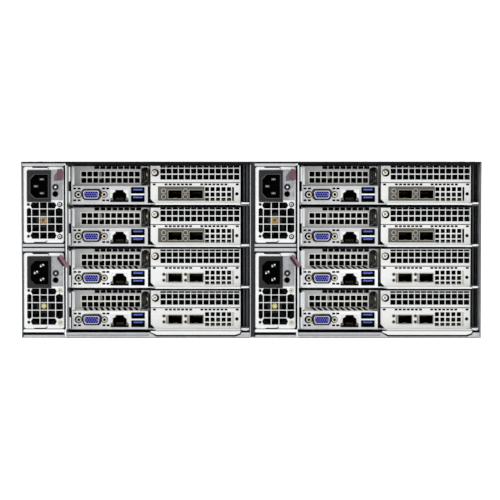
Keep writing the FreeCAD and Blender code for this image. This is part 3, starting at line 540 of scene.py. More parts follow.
def video_parts():
    s = Shape()
    pins = []
    for k, w in enumerate((VW + 1.98, VW, VW - 1.98)):
        shift = (0.45, -0.70, 0.45)[k]
        pins += [(VU + shift + (i - 2) * 2.29, w) for i in range(5)]
    s.holed("y", dee(15.6, 14.0, 7.3, 1.5), [circle(a, b, 0.88, 12) for a, b in pins], 10.25, 10.6, blue_video)
    # a ring of painted shade between the shell and its pale inner rim
    s.holed("y", dee(16.4, 14.8, 8.2, 1.5), [dee(15.7, 14.2, 7.6, 1.4)], 10.05, 10.24, shade_black)
    s.holed("y", dee(15.7, 14.2, 7.6, 1.4), [dee(14.5, 13.1, 6.5, 1.3)], 10.08, 10.24, rim_nickel)
    # the bottoms of the sockets are painted shade
    for a, b in pins:
        s.lathe("y", a, b, [(0.90, 10.55), (0.90, 10.34), (0.5, 10.3), (0, 10.29)], shade_black, 12)
    # rolled edge of the shell, near-black as painted shade, and a ring of painted shade where the shell stands out of
    # the plate
    rim = dee(16.9, 15.3, 8.7, 1.5)
    s.tube([(a, 10.0, b) for a, b in rim + rim[:1]], 0.22, shell_painted_shade, 8)
    s.holed("y", dee(19.6, 18.0, 11.1, 2.1), [dee(18.3, 16.7, 10.1)], 15.6, 15.98, shade_black)
    for a, d in ((VU - 12.6, 1), (VU + 12.6, -1)):
        # each nut: a pale collar, its threaded hole in painted shade, a painted shadow crescent beside it and a
        # near-black wedge of painted shade outside it
        s.lathe("y", a, VW, [(1.40, 15.0), (1.40, 11.6), (1.70, 11.3), (2.20, 11.42)], cream, 18)
        s.lathe("y", a, VW, [(0, 14.9), (1.40, 14.9)], shade_black, 12, False)
        s.holed("y", circle(a - (0.55 if d > 0 else 0.15), VW, 3.7 if d > 0 else 3.35, 24), [circle(a, VW, 2.65, 24)], 15.6, 15.98, shade_black)
        s.prism("y", [(a + d * 2.6, VW - 1.2), (a + d * 4.0, VW - 2.6), (a + d * 4.0, VW + 2.6), (a + d * 2.6, VW + 1.2)], 15.5, 15.9, shell_painted_shade)
    # black patches of painted shade behind the small slots
    for u in (50.7, 55.0, 79.0, 83.0):
        for w in (17.2, 5.6):
            s.box(u - 2.0, u + 2.0, 17.05, 17.6, w - 1.4, w + 1.4, shade_black, 0.1)
    return s.mesh("video_parts")


def jack_parts():
    s = Shape()
    key = [(88.4, 5.6), (100.9, 5.6), (100.9, 12.9), (98.2, 12.9), (98.2, 15.3), (91.2, 15.3), (91.2, 12.9), (88.4, 12.9)]
    s.holed("y", rounded(86.6, 102.6, 4.7, 15.9, 0.4, 3), [key], 15.15, 15.5, black_plastic)
    s.prism("y", [(86.65, 8.0), (87.5, 8.0), (87.9, 12.2), (86.65, 12.4)], 14.9, 15.2, white_plastic, 0.1)
    s.prism("y", [(102.55, 8.4), (101.7, 8.4), (101.3, 11.6), (102.55, 11.8)], 14.9, 15.2, white_plastic, 0.1)
    # pale frame round the mouth: painted highlight
    s.holed("y", rounded(85.8, 103.4, 4.3, 16.3, 0.6, 3), [rounded(86.6, 102.6, 4.7, 15.9, 0.4, 3)], 15.05, 15.5, zinc_highlight)
    # light guides in the upper corners
    s.prism("y", [(86.7, 12.3), (88.2, 12.6), (90.6, 14.4), (90.8, 15.8), (86.7, 15.8)], 14.85, 15.2, white_plastic, 0.12)
    s.prism("y", [(102.5, 11.4), (101.2, 12.2), (98.7, 14.4), (98.5, 15.8), (102.5, 15.8)], 14.85, 15.2, white_plastic, 0.12)
    # a ledge of painted shade along the bottom of the mouth
    s.box(85.7, 103.5, 14.7, 15.04, 3.9, 5.7, shade_black, 0.05)
    for u0, u1 in ((85.7, 88.4), (100.9, 103.5)):
        s.prism("y", [(u0, 5.6), (u1, 5.6), (u1, 7.6), (u0, 8.0)], 14.75, 15.04, dark_grey, 0.06)
    for k in range(8):
        u = 94.65 + (k - 3.5) * 1.02
        s.tube([(u, 31.0, 6.3), (u, 21.0, 8.4), (u, 19.6, 8.0), (u, 19.4, 6.2)], 0.16, dull_gold, 6)
    return s.mesh("jack_parts")


def usb_parts():
    s = Shape()
    # pale strip between the two ports: painted highlight
    s.box(106.0, 119.2, 14.95, 15.3, 10.7, 12.1, zinc_highlight, 0.1)
    for w0, w1, t0, t1, low, up in ((12.3, 18.0, 15.4, 16.8, 0.05, 0.45), (4.9, 10.5, 7.8, 9.2, 0.95, 0.05)):
        # a frame of painted shade round each port
        s.holed("y", rounded(105.95, 119.25, w0 - low, w1 + up, 0.5, 3), [rounded(106.65, 118.55, w0 + 0.05, w1 - 0.05, 0.3, 3)], 15.1, 15.4, shade_black)
        # nose of the tongue
        s.prism("x", [(16.8, t0), (16.3, t0 + 0.35), (16.3, t1 - 0.35), (16.8, t1)], 108.0, 117.2, blue_tongue)
        for i in range(4):
            u = 109.1 + i * 2.33
            s.box(u - 0.45, u + 0.45, 16.9, 24.0, t0 - 0.22, t0, gold, 0.06)
        for u in (109.6, 115.6):
            s.tube([(u, 15.6, w1 - 0.1), (u, 18.0, w1 - 0.75), (u, 20.5, w1 - 0.15)], 0.3, nickel, 6)
    return s.mesh("usb_parts")


def shelf_strip():
    """Sloped strip between the ports and the grille, with raking slots drawn as thin dark bars of painted shade."""
    s = Shape()
    s.prism("x", [(17.2, 19.55), (35.7, 19.55), (35.7, 22.1), (35.2, 22.1), (17.2, 19.9)], 50.8, 114.4, grille_bars)
    for k in range(1, 11):
        u = 53.3 + 5.6 * k
        lo, hi = 1.05, -2.2
        v = []
        for y, d in ((18.4, lo), (34.9, hi)):
            w = 19.9 + (y - 17.2) * 2.2 / 18.0
            v += [(u + d, y, w - 0.1), (u + d + 2.9, y, w - 0.1), (u + d + 2.9, y, w + 0.12), (u + d, y, w + 0.12)]
        s.add(v, [(0, 1, 2, 3), (7, 6, 5, 4), (0, 4, 5, 1), (1, 5, 6, 2), (2, 6, 7, 3), (3, 7, 4, 0)], shade_black)
    return s.mesh("shelf_strip")


def cage_parts(windowed):
    s = Shape()
    for a, b in ((142.0, 156.2), (162.8, 177.0)):
        # spring fingers folded round the mouth
        n = 6
        step = (b - a) / n
        for i in range(n):
            u0, u1 = a + i * step + 0.2, a + (i + 1) * step - 0.2
            for w, d in ((16.0, 1), (7.0, -1)):
                s.prism("x", [(15.98, w + d * 0.28), (15.3, w + d * 0.36), (15.0, w + d * 0.2), (15.0, w - d * 0.1), (15.4, w - d * 0.1), (15.98, w + d * 0.12)], u0, u1, cage_tin)
        for j in range(4):
            w0, w1 = 7.3 + j * 2.15, 7.3 + j * 2.15 + 1.75
            for u, d in ((a, -1), (b, 1)):
                s.prism("z", [(u + d * 0.28, 15.98), (u + d * 0.36, 15.3), (u + d * 0.2, 15.0), (u - d * 0.1, 15.0), (u - d * 0.1, 15.4), (u + d * 0.12, 15.98)], w0, w1, cage_tin)
        # card edge socket deep in the cage, with a block of painted shade behind it
        s.box(a + 0.5, b - 0.5, 46.0, 58.0, 7.5, 15.5, shade_black, 0.3)
        s.box(a + 2.4, b - 2.4, 45.2, 46.2, 10.9, 12.3, black_plastic, 0.1)
        for k in range(9):
            u = a + 3.1 + k * 1.0
            s.box(u - 0.2, u + 0.2, 45.4, 46.1, 12.3, 12.8, dull_gold)
        # latch spring in the floor of the mouth
        s.prism("x", [(16.2, 7.5), (20.0, 8.2), (24.0, 7.5)], (a + b) / 2 - 1.8, (a + b) / 2 + 1.8, card_ring)
        if not windowed:
            # column of spring bumps at the left of each mouth, each in a ring of painted shade
            for j in range(5):
                s.lathe("y", a - 1.3, 7.9 + j * 1.8, [(0.62, 15.99), (0.55, 15.6), (0.25, 15.4), (0, 15.38)], steel, 10)
                s.holed("y", circle(a - 1.3, 7.9 + j * 1.8, 0.85, 12), [circle(a - 1.3, 7.9 + j * 1.8, 0.6, 12)], 15.9, 15.99, shade_black)
    y0 = 17.0 if windowed else 16.0
    for u, w in ((138.0, 14.8), (138.0, 9.0), (159.4, 14.8), (159.4, 9.0)):
        if windowed:
            s.lathe("y", u, w, [(1.7, y0 - 0.02), (1.5, y0 - 0.25), (0.8, y0 - 0.5), (0, y0 - 0.58)], lens_dark, 18)
            s.lathe("y", u, w, [(2.5, y0 - 0.01), (2.4, y0 - 0.45), (1.9, y0 - 0.55), (1.6, y0 - 0.1)], card_ring, 20)
        else:
            s.lathe("y", u, w, [(1.05, y0 + 0.6), (1.05, y0 - 0.02), (1.35, y0 - 0.1), (0.6, y0 - 0.16), (0, y0 - 0.18)], black_plastic, 14)
            s.holed("y", circle(u, w, 1.95, 18), [circle(u, w, 1.36, 18)], y0 - 0.16, y0 - 0.01, steel)
    # black block of painted shade over the upper part of the card edge, behind the lowest vents
    s.box(178.6, 207.4, 17.1, 17.8, 5.95, 8.6, shade_black, 0.1)
    # painted shade round the edges of the small notches
    for u in [128.7, 210.2] + [140.4 + 4.0 * i for i in range(7)] + [175.4 + 3.95 * i for i in range(7)]:
        s.holed("y", rounded(u - 1.4, u + 1.4, 20.25, 22.05, 0.3, 3), [rounded(u - 1.15, u + 1.15, 20.45, 21.85, 0.1, 2)], 15.88, 15.99, shade_black)
    # black strip of painted shade behind the row of small notches
    s.box(126.0, 212.6, 17.05, 17.5, 20.4, 22.4, shade_black, 0.05)
    if not windowed:
        # pale strip behind the tall slot
        s.box(205.15, 206.95, 16.25, 16.9, 5.0, 18.5, card_ring, 0.1)
    if windowed:
        # black strip of painted shade along the top edge of the slot cover
        s.prism("x", [(15.55, 39.35), (15.98, 39.35), (15.98, 39.82), (27.6, 39.82), (27.6, 40.2), (15.9, 40.45), (15.55, 40.1)], 125.4, 213.0, foam_and_shade)
        # folded edge of the window
        for u0, u1, w0, w1 in ((132.4, 178.0, 19.2, 19.5), (132.4, 178.0, 4.9, 5.2), (132.1, 132.4, 4.9, 19.5), (178.0, 178.25, 4.9, 19.5)):
            s.box(u0, u1, 15.85, 16.05, w0, w1, bracket_plate, 0.04)
    return s.mesh("cage_parts_w" if windowed else "cage_parts")


def thumb_screw_parts():
    s = Shape()
    a, b = 129.8, 32.6
    teeth = []
    n = 28
    for i in range(2 * n):
        r = 3.95 if i % 2 else 3.7
        t = math.pi * i / n
        teeth.append((a + r * math.cos(t), b + r * math.sin(t)))
    s.holed("y", teeth, [circle(a, b, 3.5, 28)], 13.0, 15.6, zinc)
    # sunk shoulder in painted shade, showing as a painted shadow crescent beside the head, then a domed head with a
    # cross recess, a little off its middle; the face round the recess is pale zinc as painted highlight
    s.lathe("y", a, b, [(3.75, 13.0), (3.6, 12.7), (1.2, 12.7)], shade_black, 28)
    hu, hw = a - 0.75, b + 0.45
    s.lathe("y", hu, hw, [(2.65, 12.75), (2.6, 11.9), (2.2, 11.5), (1.8, 11.4)], pale_brass, 28)
    s.holed("y", circle(hu, hw, 1.8, 28), [cross(hu, hw, 1.6, 0.42, 0.6)], 11.4, 12.0, zinc_highlight)
    s.lathe("y", hu, hw, [(0, 11.95), (1.75, 11.95)], dark_zinc, 14, False)
    # painted shade round the edges of the openings in the slot cover
    for w0, w1, g in ((26.0, 30.6, 0.1), (31.9, 36.5, 0.1), (37.7, 39.2, 0.22)):
        for k in range(13):
            u0, u1 = 134.8 + 6.03 * k, 139.8 + 6.03 * k
            s.holed("y", [(u0 - g, w0 - g), (u1 + g, w0 - g), (u1 + g, w1 + 0.1), (u0 - g, w1 + 0.1)], [[(u0, w0), (u1, w0), (u1, w1), (u0, w1)]], 15.9, 15.99, shade_black)
    # pale washer round it, as painted highlight
    s.holed("y", circle(a, b, 4.7, 32), [circle(a, b, 4.0, 28)], 15.5, 15.98, zinc_highlight)
    return s.mesh("thumb_screw_parts")


def side_lever():
    """Dark moulded lever in the arched opening, and the bronze catch beside it."""
    s = Shape()
    arm = [(44.0, 33.0), (44.0, 36.4), (36.4, 37.2), (33.4, 36.4), (32.0, 33.0), (31.4, 28.0), (31.8, 23.6), (33.6, 20.8), (35.8, 20.2), (35.8, 22.4),
           (34.8, 23.4), (34.4, 26.0), (34.4, 31.0), (35.4, 33.0)]
    s.prism("x", arm, 115.5, 119.9, black_plastic)
    for k in range(6):
        w = 22.6 + k * 2.2
        s.box(115.8, 119.6, 31.0, 31.9, w, w + 1.0, black_plastic, 0.2)
    for u in (116.6, 118.7):
        s.tube([(u, 33.0, 21.0), (u, 31.2, 27.5), (u, 32.2, 34.5)], 0.35, dark_grey, 6)
    s.prism("y", [(120.3, 21.0), (122.9, 21.0), (123.0, 24.0), (122.8, 32.0), (121.9, 35.6), (120.9, 36.4), (120.3, 34.0)], 33.6, 35.9, brown, 0.4)
    s.prism("y", [(120.7, 24.0), (122.4, 25.0), (122.2, 31.0), (121.0, 32.4)], 32.8, 33.7, brown, 0.3)
    # a thin gold wire and a pale patch on the catch, as painted highlights
    s.tube([(121.7, 32.5, 37.0), (122.5, 32.2, 32.0), (121.6, 32.0, 28.0), (122.3, 32.2, 23.0)], 0.30, dull_gold, 8)
    s.prism("y", [(120.2, 29.4), (121.3, 28.6), (121.5, 31.6), (120.4, 32.8)], 32.0, 33.0, card_ring, 0.25)
    s.prism("y", [(115.3, 21.4), (117.2, 21.0), (121.8, 24.6), (120.6, 25.8)], 31.2, 32.4, dark_grey, 0.3)
    # black block of painted shade in the pocket behind them
    s.box(114.6, 123.4, 44.0, 45.0, 20.2, 38.6, shade_black, 0.2)
    return s.mesh("side_lever")


def board_parts():
    """Chips, capacitors, coils, memory chips and fittings that show when a sled is drawn out."""
    s = Shape()
    for y0 in (130.0, 262.0):
        for u in (49.5, 57.5, 65.5, 73.5, 176.5, 184.5, 192.5, 200.5):
            for k in range(9):
                y = y0 + 1.0 + k * 11.2
                for f0, f1 in ((u + 0.85, u + 1.8), (u + 3.2, u + 4.15)):
                    s.box(f0, f1, y, y + 8.6, 17.0, 30.0, chip)
            for y in (y0 - 9.6, y0 + 108.0):
                s.box(u + 0.6, u + 4.4, y, y + 1.6, 4.6, 26.0, ivory, 0.3)
        for u, y in ((88.5, y0 + 5.0), (165.5, y0 + 5.0), (88.5, y0 + 95.0), (165.5, y0 + 95.0)):
            s.lathe("z", u, y, [(2.4, 37.02), (2.4, 38.2), (1.9, 38.6), (0, 38.6)], steel, 16)
        # fins of the heat sink
        for k in range(20):
            s.box(92.6 + 3.6 * k, 93.9 + 3.6 * k, y0 + 0.6, y0 + 99.4, 36.9, 38.7, alu)
        # row of coils and capacitors between the sockets
        for k in range(7):
            y = y0 + 4.0 + k * 14.0
            s.box(171.3, 175.5, y, y + 8.0, 4.5, 9.0, chip, 0.4)
            s.lathe("z", 81.3, y + 4.0, [(2.1, 4.5), (2.1, 10.6), (1.8, 11.2), (0, 11.2)], alu, 14)
    for u, y, a, b, h in ((92, 40, 12, 12, 1.4), (92, 62, 9, 14, 1.2), (108, 44, 10, 10, 1.6), (60, 92, 16, 10, 1.4), (96, 90, 18, 18, 2.0)):
        s.box(u, u + a, y, y + b, 4.5, 4.5 + h, chip, 0.2)
    # finned cap of the management controller and of the network card
    for i in range(7):
        s.box(60.4 + i * 3.6, 61.6 + i * 3.6, 60.2, 83.8, 12.0, 17.0, alu)
    for i in range(9):
        s.box(128.0 + i * 3.8, 129.4 + i * 3.8, 70.4, 109.6, 15.0, 20.5, alu)
    for u, y in ((190, 30), (194, 46), (200, 34), (206, 52)):
        s.lathe("z", u, y, [(2.6, 7.0), (2.6, 12.0), (2.2, 12.6), (0, 12.6)], chip, 14)
        s.box(u - 8, u - 3.2, y + 8, y + 14, 7.0, 8.4, chip, 0.2)
    # second board: regulators, connectors and the coin cell
    for k in range(8):
        s.box(36.0, 46.0, 404.0 + k * 14, 414.0 + k * 14, 4.5, 11.5, chip, 0.8)
        s.lathe("z", 54.0, 409.0 + k * 14, [(3.0, 4.5), (3.0, 14.0), (2.6, 14.8), (0, 14.8)], alu, 16)
    s.lathe("z", 178.0, 430.0, [(10.4, 4.5), (10.4, 8.6), (9.8, 9.2), (0, 9.2)], lid, 28)
    s.box(166.0, 190.0, 452.0, 460.0, 4.5, 12.5, black_plastic, 0.5)
    s.box(166.0, 190.0, 466.0, 474.0, 4.5, 12.5, white_plastic, 0.5)
    for u, y, a, b in ((166, 488, 20, 20), (120, 520, 24, 24), (60, 520, 14, 14), (86, 522, 18, 10)):
        s.box(u, u + a, y, y + b, 4.5, 6.3, chip, 0.3)
    # drives: raised lids with corner screws, and their brackets
    for u in (24.0, 130.0):
        s.holed("z", rounded(u + 1.2, u + 68.8, 591.2, 688.8, 3.0), [rounded(u + 6.0, u + 64.0, 600.0, 680.0, 4.0)], 17.8, 18.5, alu)
        for a in (u + 3.6, u + 66.4):
            for b in (594.0, 686.0):
                screw_head(s, "z", a, b, 1.9, 18.4, 19.4, steel, 0.4, 16)
        s.box(u + 8, u + 62, 690.0, 700.0, 2.8, 12.0, black_plastic, 0.6)
        s.box(u - 3.0, u, 600.0, 680.0, 2.8, 14.0, zinc, 0.4)
        s.box(u + 70.0, u + 73.0, 600.0, 680.0, 2.8, 14.0, zinc, 0.4)
    # blower: mouth ring and fixing screws
    s.holed("z", circle(112.0, 450.0, 36.0, 48), [circle(112.0, 450.0, 33.2, 48)], 38.6, 39.3, black_plastic)
    for u in (66.0, 158.0):
        for y in (400.5, 495.5):
            screw_head(s, "z", u, y, 2.4, 38.6, 39.6, steel, 0.3, 16)
    # black pleated baffles behind the slot cover and behind the grille, as painted shade seen through the openings
    for u0, n, y, w0, w1 in ((126.2, 43, 30.0, 23.6, 39.2), (51.0, 31, 47.0, 20.2, 39.2)):
        fold = [(u0 + 2.0 * k, y + (1.8 if k % 2 else 0.0)) for k in range(n)]
        fold += [(a, b + 0.8) for a, b in reversed(fold)]
        s.prism("z", fold, w0, w1, foam_and_shade)
    s.prism("y", [(72.9, 26.0), (75.2, 26.0), (75.9, 28.4), (75.5, 33.0), (74.2, 33.8), (72.9, 33.8)], 38.0, 42.0, ivory, 0.3)
    # pale edge of the two flanges on the left wall, as painted highlight
    for w0, w1 in ((3.6, 14.6), (24.4, 38.4)):
        s.prism("z", [(46.35, 2.98), (46.5, 2.7), (47.1, 2.6), (47.45, 2.75), (47.5, 4.0), (47.42, 4.0), (47.3, 2.98)], w0, w1, zinc_highlight)
    # pale bars of the recessed grille, and painted shade round the edges of its openings
    cells = [(55.75 + 5.88 * k, 60.45 + 5.88 * k, w - 2.35, w + 2.35, 0.12, 0.1) for w in (24.9, 31.2) for k in range(10)]
    cells += [(69.0 + 5.9 * k, 73.4 + 5.9 * k, 36.3, 38.8, 0.5, 0.15) for k in range(8)]
    s.holed("y", [(54.6, 21.6), (114.4, 21.6), (114.4, 34.4), (54.6, 34.4)], [[(u0, w0), (u1, w0), (u1, w1), (u0, w1)] for u0, u1, w0, w1, g, h in cells[:20]], 35.9, 35.995, grille_bars)
    for u0, u1, w0, w1, g, h in cells:
        s.holed("y", [(u0 - g, w0 - h), (u1 + 0.12, w0 - h), (u1 + 0.12, w1 + 0.1), (u0 - g, w1 + 0.1)], [[(u0, w0), (u1, w0), (u1, w1), (u0, w1)]], 35.84, 35.98, shade_black)
    # black strip of painted shade along the top edge of the grille
    s.prism("x", [(35.5, 39.0), (35.98, 39.0), (35.98, 39.82), (37.6, 39.82), (37.6, 40.2), (35.9, 40.45), (35.5, 40.1)], 48.6, 123.8, foam_and_shade)
    # pleated black filter behind the front bezel, in a thin frame; its black is also painted shade seen through the
    # sled
    fold = []
    for k in range(67):
        fold.append((12.5 + 3.0 * k, 722.0 + (2.4 if k % 2 else 0.0)))
    fold += [(a, b + 1.0) for a, b in reversed(fold)]
    s.prism("z", fold, 4.4, 37.6, foam_and_shade)
    s.holed("y", [(11.0, 3.0), (212.0, 3.0), (212.0, 39.0), (11.0, 39.0)], [[(13.0, 5.0), (210.0, 5.0), (210.0, 37.0), (13.0, 37.0)]], 720.5, 728.5, black_plastic)
    # blade slots of the power connector, drawn as black boxes of painted shade
    for k in range(5):
        s.box(15.0 + k * 4.4, 17.4 + k * 4.4, 365.4, 366.02, 11.0, 29.0, shade_black, 0.2)
    return s.mesh("board_parts")


def front_parts():
    """Button, indicators and catch on the front of a sled, and the grip of its pull tab."""
    s = Shape()
    c = 111.3
    s.lathe("y", 103.0, 32.0, [(3.6, 735.0), (3.6, 735.7), (3.2, 736.0), (2.7, 735.7), (2.5, 735.9), (1.6, 736.3), (0, 736.4)], grey_plastic, 24)
    for k, m in enumerate((lens_green, lens_green, lens_amber)):
        s.lathe("y", 110.0 + 4.6 * k, 32.0, [(1.5, 735.0), (1.5, 735.5), (1.0, 735.9), (0, 736.0)], m, 16)
    s.holed("y", rounded(97.0, 127.6, 27.4, 36.6, 2.0), [circle(103.0, 32.0, 3.7, 24)] + [circle(110.0 + 4.6 * k, 32.0, 1.6, 16) for k in range(3)],
            735.0, 735.35, black_plastic)
    # sunk frames round the two perforated fields
    for u0, u1 in ((12.4, 95.2), (130.0, 212.8)):
        s.holed("y", rounded(u0, u1, 4.6, 38.4, 1.6), [rounded(u0 + 1.0, u1 - 1.0, 5.6, 37.4, 1.0)], 735.0, 735.6, black_paint)
    # grip ribs
    for k in range(9):
        u = c - 24 + k * 6
        s.box(u - 0.9, u + 0.9, 757.0, 761.4, 24.4, 25.0, maroon, 0.25)
        s.box(u - 0.9, u + 0.9, 757.0, 761.4, 16.2, 16.8, maroon, 0.25)
    # catch at each end
    for u, d in ((6.4, 1), (216.2, -1)):
        s.prism("y", [(u - 2.6, 12.0), (u + 2.6, 12.0), (u + 2.6, 26.0), (u + 1.2, 29.5), (u - 1.2, 29.5), (u - 2.6, 26.0)], 735.0, 738.2, maroon, 0.5)
        for k in range(4):
            s.box(u - 2.0, u + 2.0, 738.1, 738.7, 14.0 + 2.6 * k, 15.2 + 2.6 * k, maroon, 0.2)
    return s.mesh("front_parts")


def rotor_cap():
    s = Shape()
    s.lathe("z", 112.0, 450.0, [(17.0, 27.2), (16.6, 27.9), (13.0, 28.3), (12.6, 28.0), (6.0, 28.0), (5.6, 28.4), (0, 28.4)], black_plastic, 40)
    s.lathe("z", 112.0, 450.0, [(12.4, 28.02), (6.2, 28.06)], nickel, 40)
    return s.mesh("rotor_cap")


made = {"video": video_parts(), "jack": jack_parts(), "usb": usb_parts(), "cage1": cage_parts(True), "cage0": cage_parts(False),
        "screw": thumb_screw_parts(), "lever": side_lever(), "board": board_parts(), "front": front_parts(), "rotor": rotor_cap(),
        "shelf": shelf_strip()}
for side, row in SLEDS:
    n, xh, z = "sled_%s%d" % (side, row), XH[side], ROW_Z[row]
    put(made["video"], n + "_video_parts", n, xh, z)
    put(made["jack"], n + "_jack_parts", n, xh, z)
    put(made["usb"], n + "_usb_parts", n, xh, z)
    put(made["cage1" if row < 3 else "cage0"], n + "_cage_parts", n, xh, z)
    put(made["screw"], n + "_thumb_screw_parts", n, xh, z)
    put(made["lever"], n + "_side_lever", n, xh, z)
    put(made["board"], n + "_board_parts", n, xh, z)
    put(made["front"], n + "_front_parts", n, xh, z)
    if row > 2:
        put(made["shelf"], n + "_shelf_strip", n, xh, z)
    put(made["rotor"], n + "_rotor_cap", n + "_blower", xh, z)


# ---------------------------------------------------------------- power supply details
def supply_parts(low):
    s = Shape()
    # raised border of the face, pale as painted highlight
    s.holed("y", rounded(1.95, 41.15, 0.05, 74.25, 2.4, 6), [rounded(5.0, 40.3, 2.3, 71.5, 2.2, 5)], 2.5, 3.0, supply_rim_highlight)
    ring = rounded(2.5, 40.75, 0.6, 73.7, 2.0, 6)
    s.tube([(a, 2.62, b) for a, b in ring + ring[:1]], 0.34, supply_rim_highlight, 8)
    # painted shade in the folds where the border is notched at the top and the bottom
    s.prism("y", [(10.2, 74.2), (11.0, 73.0), (25.0, 73.0), (27.6, 74.2)], 2.1, 2.6, shade_black)
    s.prism("y", [(25.4, 72.6), (26.4, 71.7), (27.2, 71.7), (26.0, 73.2)], 2.3, 2.55, dark_zinc)
    s.prism("y", [(11.6, 0.1), (12.4, 0.9), (23.0, 0.9), (24.6, 0.1)], 2.1, 2.6, shade_black)
    s.prism("y", [(22.4, 1.0), (24.0, 2.1), (25.4, 2.1), (24.4, 1.0)], 2.3, 2.55, dark_zinc)
    for a, b, t in ((37.0, 37.6, 0.4), (37.0, 6.2, 0.9)):
        screw_head(s, "y", a, b, 1.8, 2.98, 2.0, pale_brass if low else nickel, t, 22)
        # a ring offset down and to the right of each screw; on the upper supplies it is a painted shadow
        s.holed("y", circle(a + 0.2, b - 0.2, 2.5 if low else 2.6, 24), [circle(a, b, 1.8, 24)], 2.7, 2.99, card_ring if low else shade_black)
    for a, b in ((6.6, 37.4), (6.6, 6.4)):
        screw_head(s, "y", a, b, 1.4, 2.98, 2.3, black_plastic, 0.2, 18)
    # painted shade round the edges of the fan openings
    us = [5.8, 9.7, 17.4, 25.0, 32.7, 39.1]
    ws = [4.2, 10.6, 18.2, 25.6, 33.1, 39.2]
    for i in range(5):
        for j in range(5):
            if i in (0, 4) and j in (0, 4):
                continue
            pair = []
            for g, side in ((0.24, 0.85), (0.0, 0.0)):
                a, b = us[i] + (0.62 - g if i else -side), us[i + 1] - (0.62 - g if i < 4 else -side)
                c, d = ws[j] + (0.62 - g if j else -g), ws[j + 1] - (0.62 - g if j < 4 else -g)
                pts = [(a, c), (b, c), (b, d), (a, d)]
                if j in (0, 4) and i == 1:
                    pts = [(a, c), (b, c), (b, d), (a, d), (a - 1.6, (c + d) / 2)]
                elif j in (0, 4) and i == 3:
                    pts = [(a, c), (b, c), (b + 1.6, (c + d) / 2), (b, d), (a, d)]
                elif i in (0, 4) and j == 1:
                    pts = [(a, c), ((a + b) / 2, c - 1.6), (b, c), (b, d), (a, d)]
                elif i in (0, 4) and j == 3:
                    pts = [(a, c), (b, c), (b, d), ((a + b) / 2, d + 1.6), (a, d)]
                pair.append(pts)
            s.holed("y", pair[0], [pair[1]], 2.86, 2.99, shade_black)
    # indicator: dark ring with a pale dome
    s.lathe("y", 33.1, 54.3, [(1.15, 2.55), (1.15, 2.2), (1.5, 1.95), (2.7, 1.95), (3.1, 2.3), (3.1, 2.99)], black_plastic, 24)
    s.lathe("y", 33.1, 54.3, [(1.16, 2.5), (1.0, 2.15), (0.6, 1.95), (0, 1.9)], card_ring if low else white_plastic, 18)
    # collar of the small round opening
    s.holed("y", circle(32.9, 47.6, 2.95, 24), [circle(32.9, 47.6, 2.4, 24)], 2.75, 2.99, black_plastic)
    # painted shadow of the upright latch on the face, drawn as a dark grey cam
    if not low:
        s.prism("y", [(31.4, 60.2), (35.8, 60.6), (36.2, 68.4), (34.6, 69.0), (31.8, 65.0)], 2.3, 2.99, dark_grey, 0.25)
    # inlet: raised step round the cavity, and the tips of the blades; on the lower supplies each black tip has two pale
    # dots as painted highlights
    c = 4.6
    cav = [(8.6 + c, 43.6), (26.0, 43.6), (26.0, 66.6), (8.6 + c, 66.6), (8.6, 66.6 - c), (8.6, 43.6 + c)]
    wide = [(8.1 + c, 43.1), (26.5, 43.1), (26.5, 67.1), (8.1 + c, 67.1), (8.1, 67.1 - c), (8.1, 43.1 + c)]
    s.holed("y", wide, [cav], 1.3, 1.6, black_plastic if low else inlet_edge)
    for u, w in ((19.6, 61.9), (19.6, 48.3), (13.6, 55.1)):
        s.prism("y", [(u - 1.2, w - 0.5), (u + 1.2, w - 0.5), (u + 1.2, w + 0.5), (u - 1.2, w + 0.5)], 3.6, 5.02, black_plastic if low else steel, 0.3)
        if low:
            for d in (-1, 1):
                s.lathe("y", u + d * 1.15, w + d * 0.75, [(0.85, 3.9), (0.85, 3.2), (0.55, 2.9), (0, 2.85)], white_plastic, 12)
    return s.mesh("supply_parts_low" if low else "supply_parts")


def case_parts():
    """Seams, vent slots drawn as dark patches of painted shade, and flush screws on the walls of a supply."""
    s = Shape()
    for u, d in ((1.9, -1), (41.2, 1)):
        a, b = sorted((u, u + d * 0.14))
        for w in (5.0, 69.0):
            s.box(a, b, 6.0, 337.0, w - 0.25, w + 0.25, dark_zinc, 0.03)
        for k in range(14):
            s.prism("x", rounded(248.0 + 5.6 * k, 251.0 + 5.6 * k, 16.0, 58.0, 1.4, 4), a, b, shade_black, 0.03)
        for y in (14.0, 120.0, 226.0, 332.0):
            for w in (9.6, 64.4):
                s.lathe("x", y, w, [(2.3, u), (2.2, u + d * 0.16), (1.2, u + d * 0.2), (0, u + d * 0.14)], steel, 18)
    for w, d in ((74.3, 1), (0.0, -1)):
        a, b = sorted((w, w + d * 0.2))
        s.holed("z", rounded(7.0, 36.0, 30.0, 200.0, 3.0, 5), [rounded(7.8, 35.2, 30.8, 199.2, 2.6, 5)], a, b, dark_zinc)
        for k in range(8):
            s.prism("z", rounded(9.0, 34.0, 226.0 + 8.0 * k, 229.4 + 8.0 * k, 1.6, 4), a, b, shade_black, 0.03)
        for y in (16.0, 330.0):
            for u in (8.0, 35.0):
                s.lathe("z", u, y, [(2.3, w), (2.2, w + d * 0.3), (1.2, w + d * 0.35), (0, w + d * 0.25)], steel, 18)
    return s.mesh("case_parts")


def fan_cap(r, q, ring, middle, name):
    s = Shape()
    s.lathe("y", 20.9, 22.0, [(7.0, 7.0), (6.7, 6.6), (r, 6.55)], black_plastic, 32)
    s.lathe("y", 20.9, 22.0, [(r, 6.6), (r - 0.2, 6.35), (q, 6.3)], ring, 32)
    s.lathe("y", 20.9, 22.0, [(q, 6.3), (q - 0.4, 6.1), (0, 6.05)], middle, 24)
    return s.mesh(name)


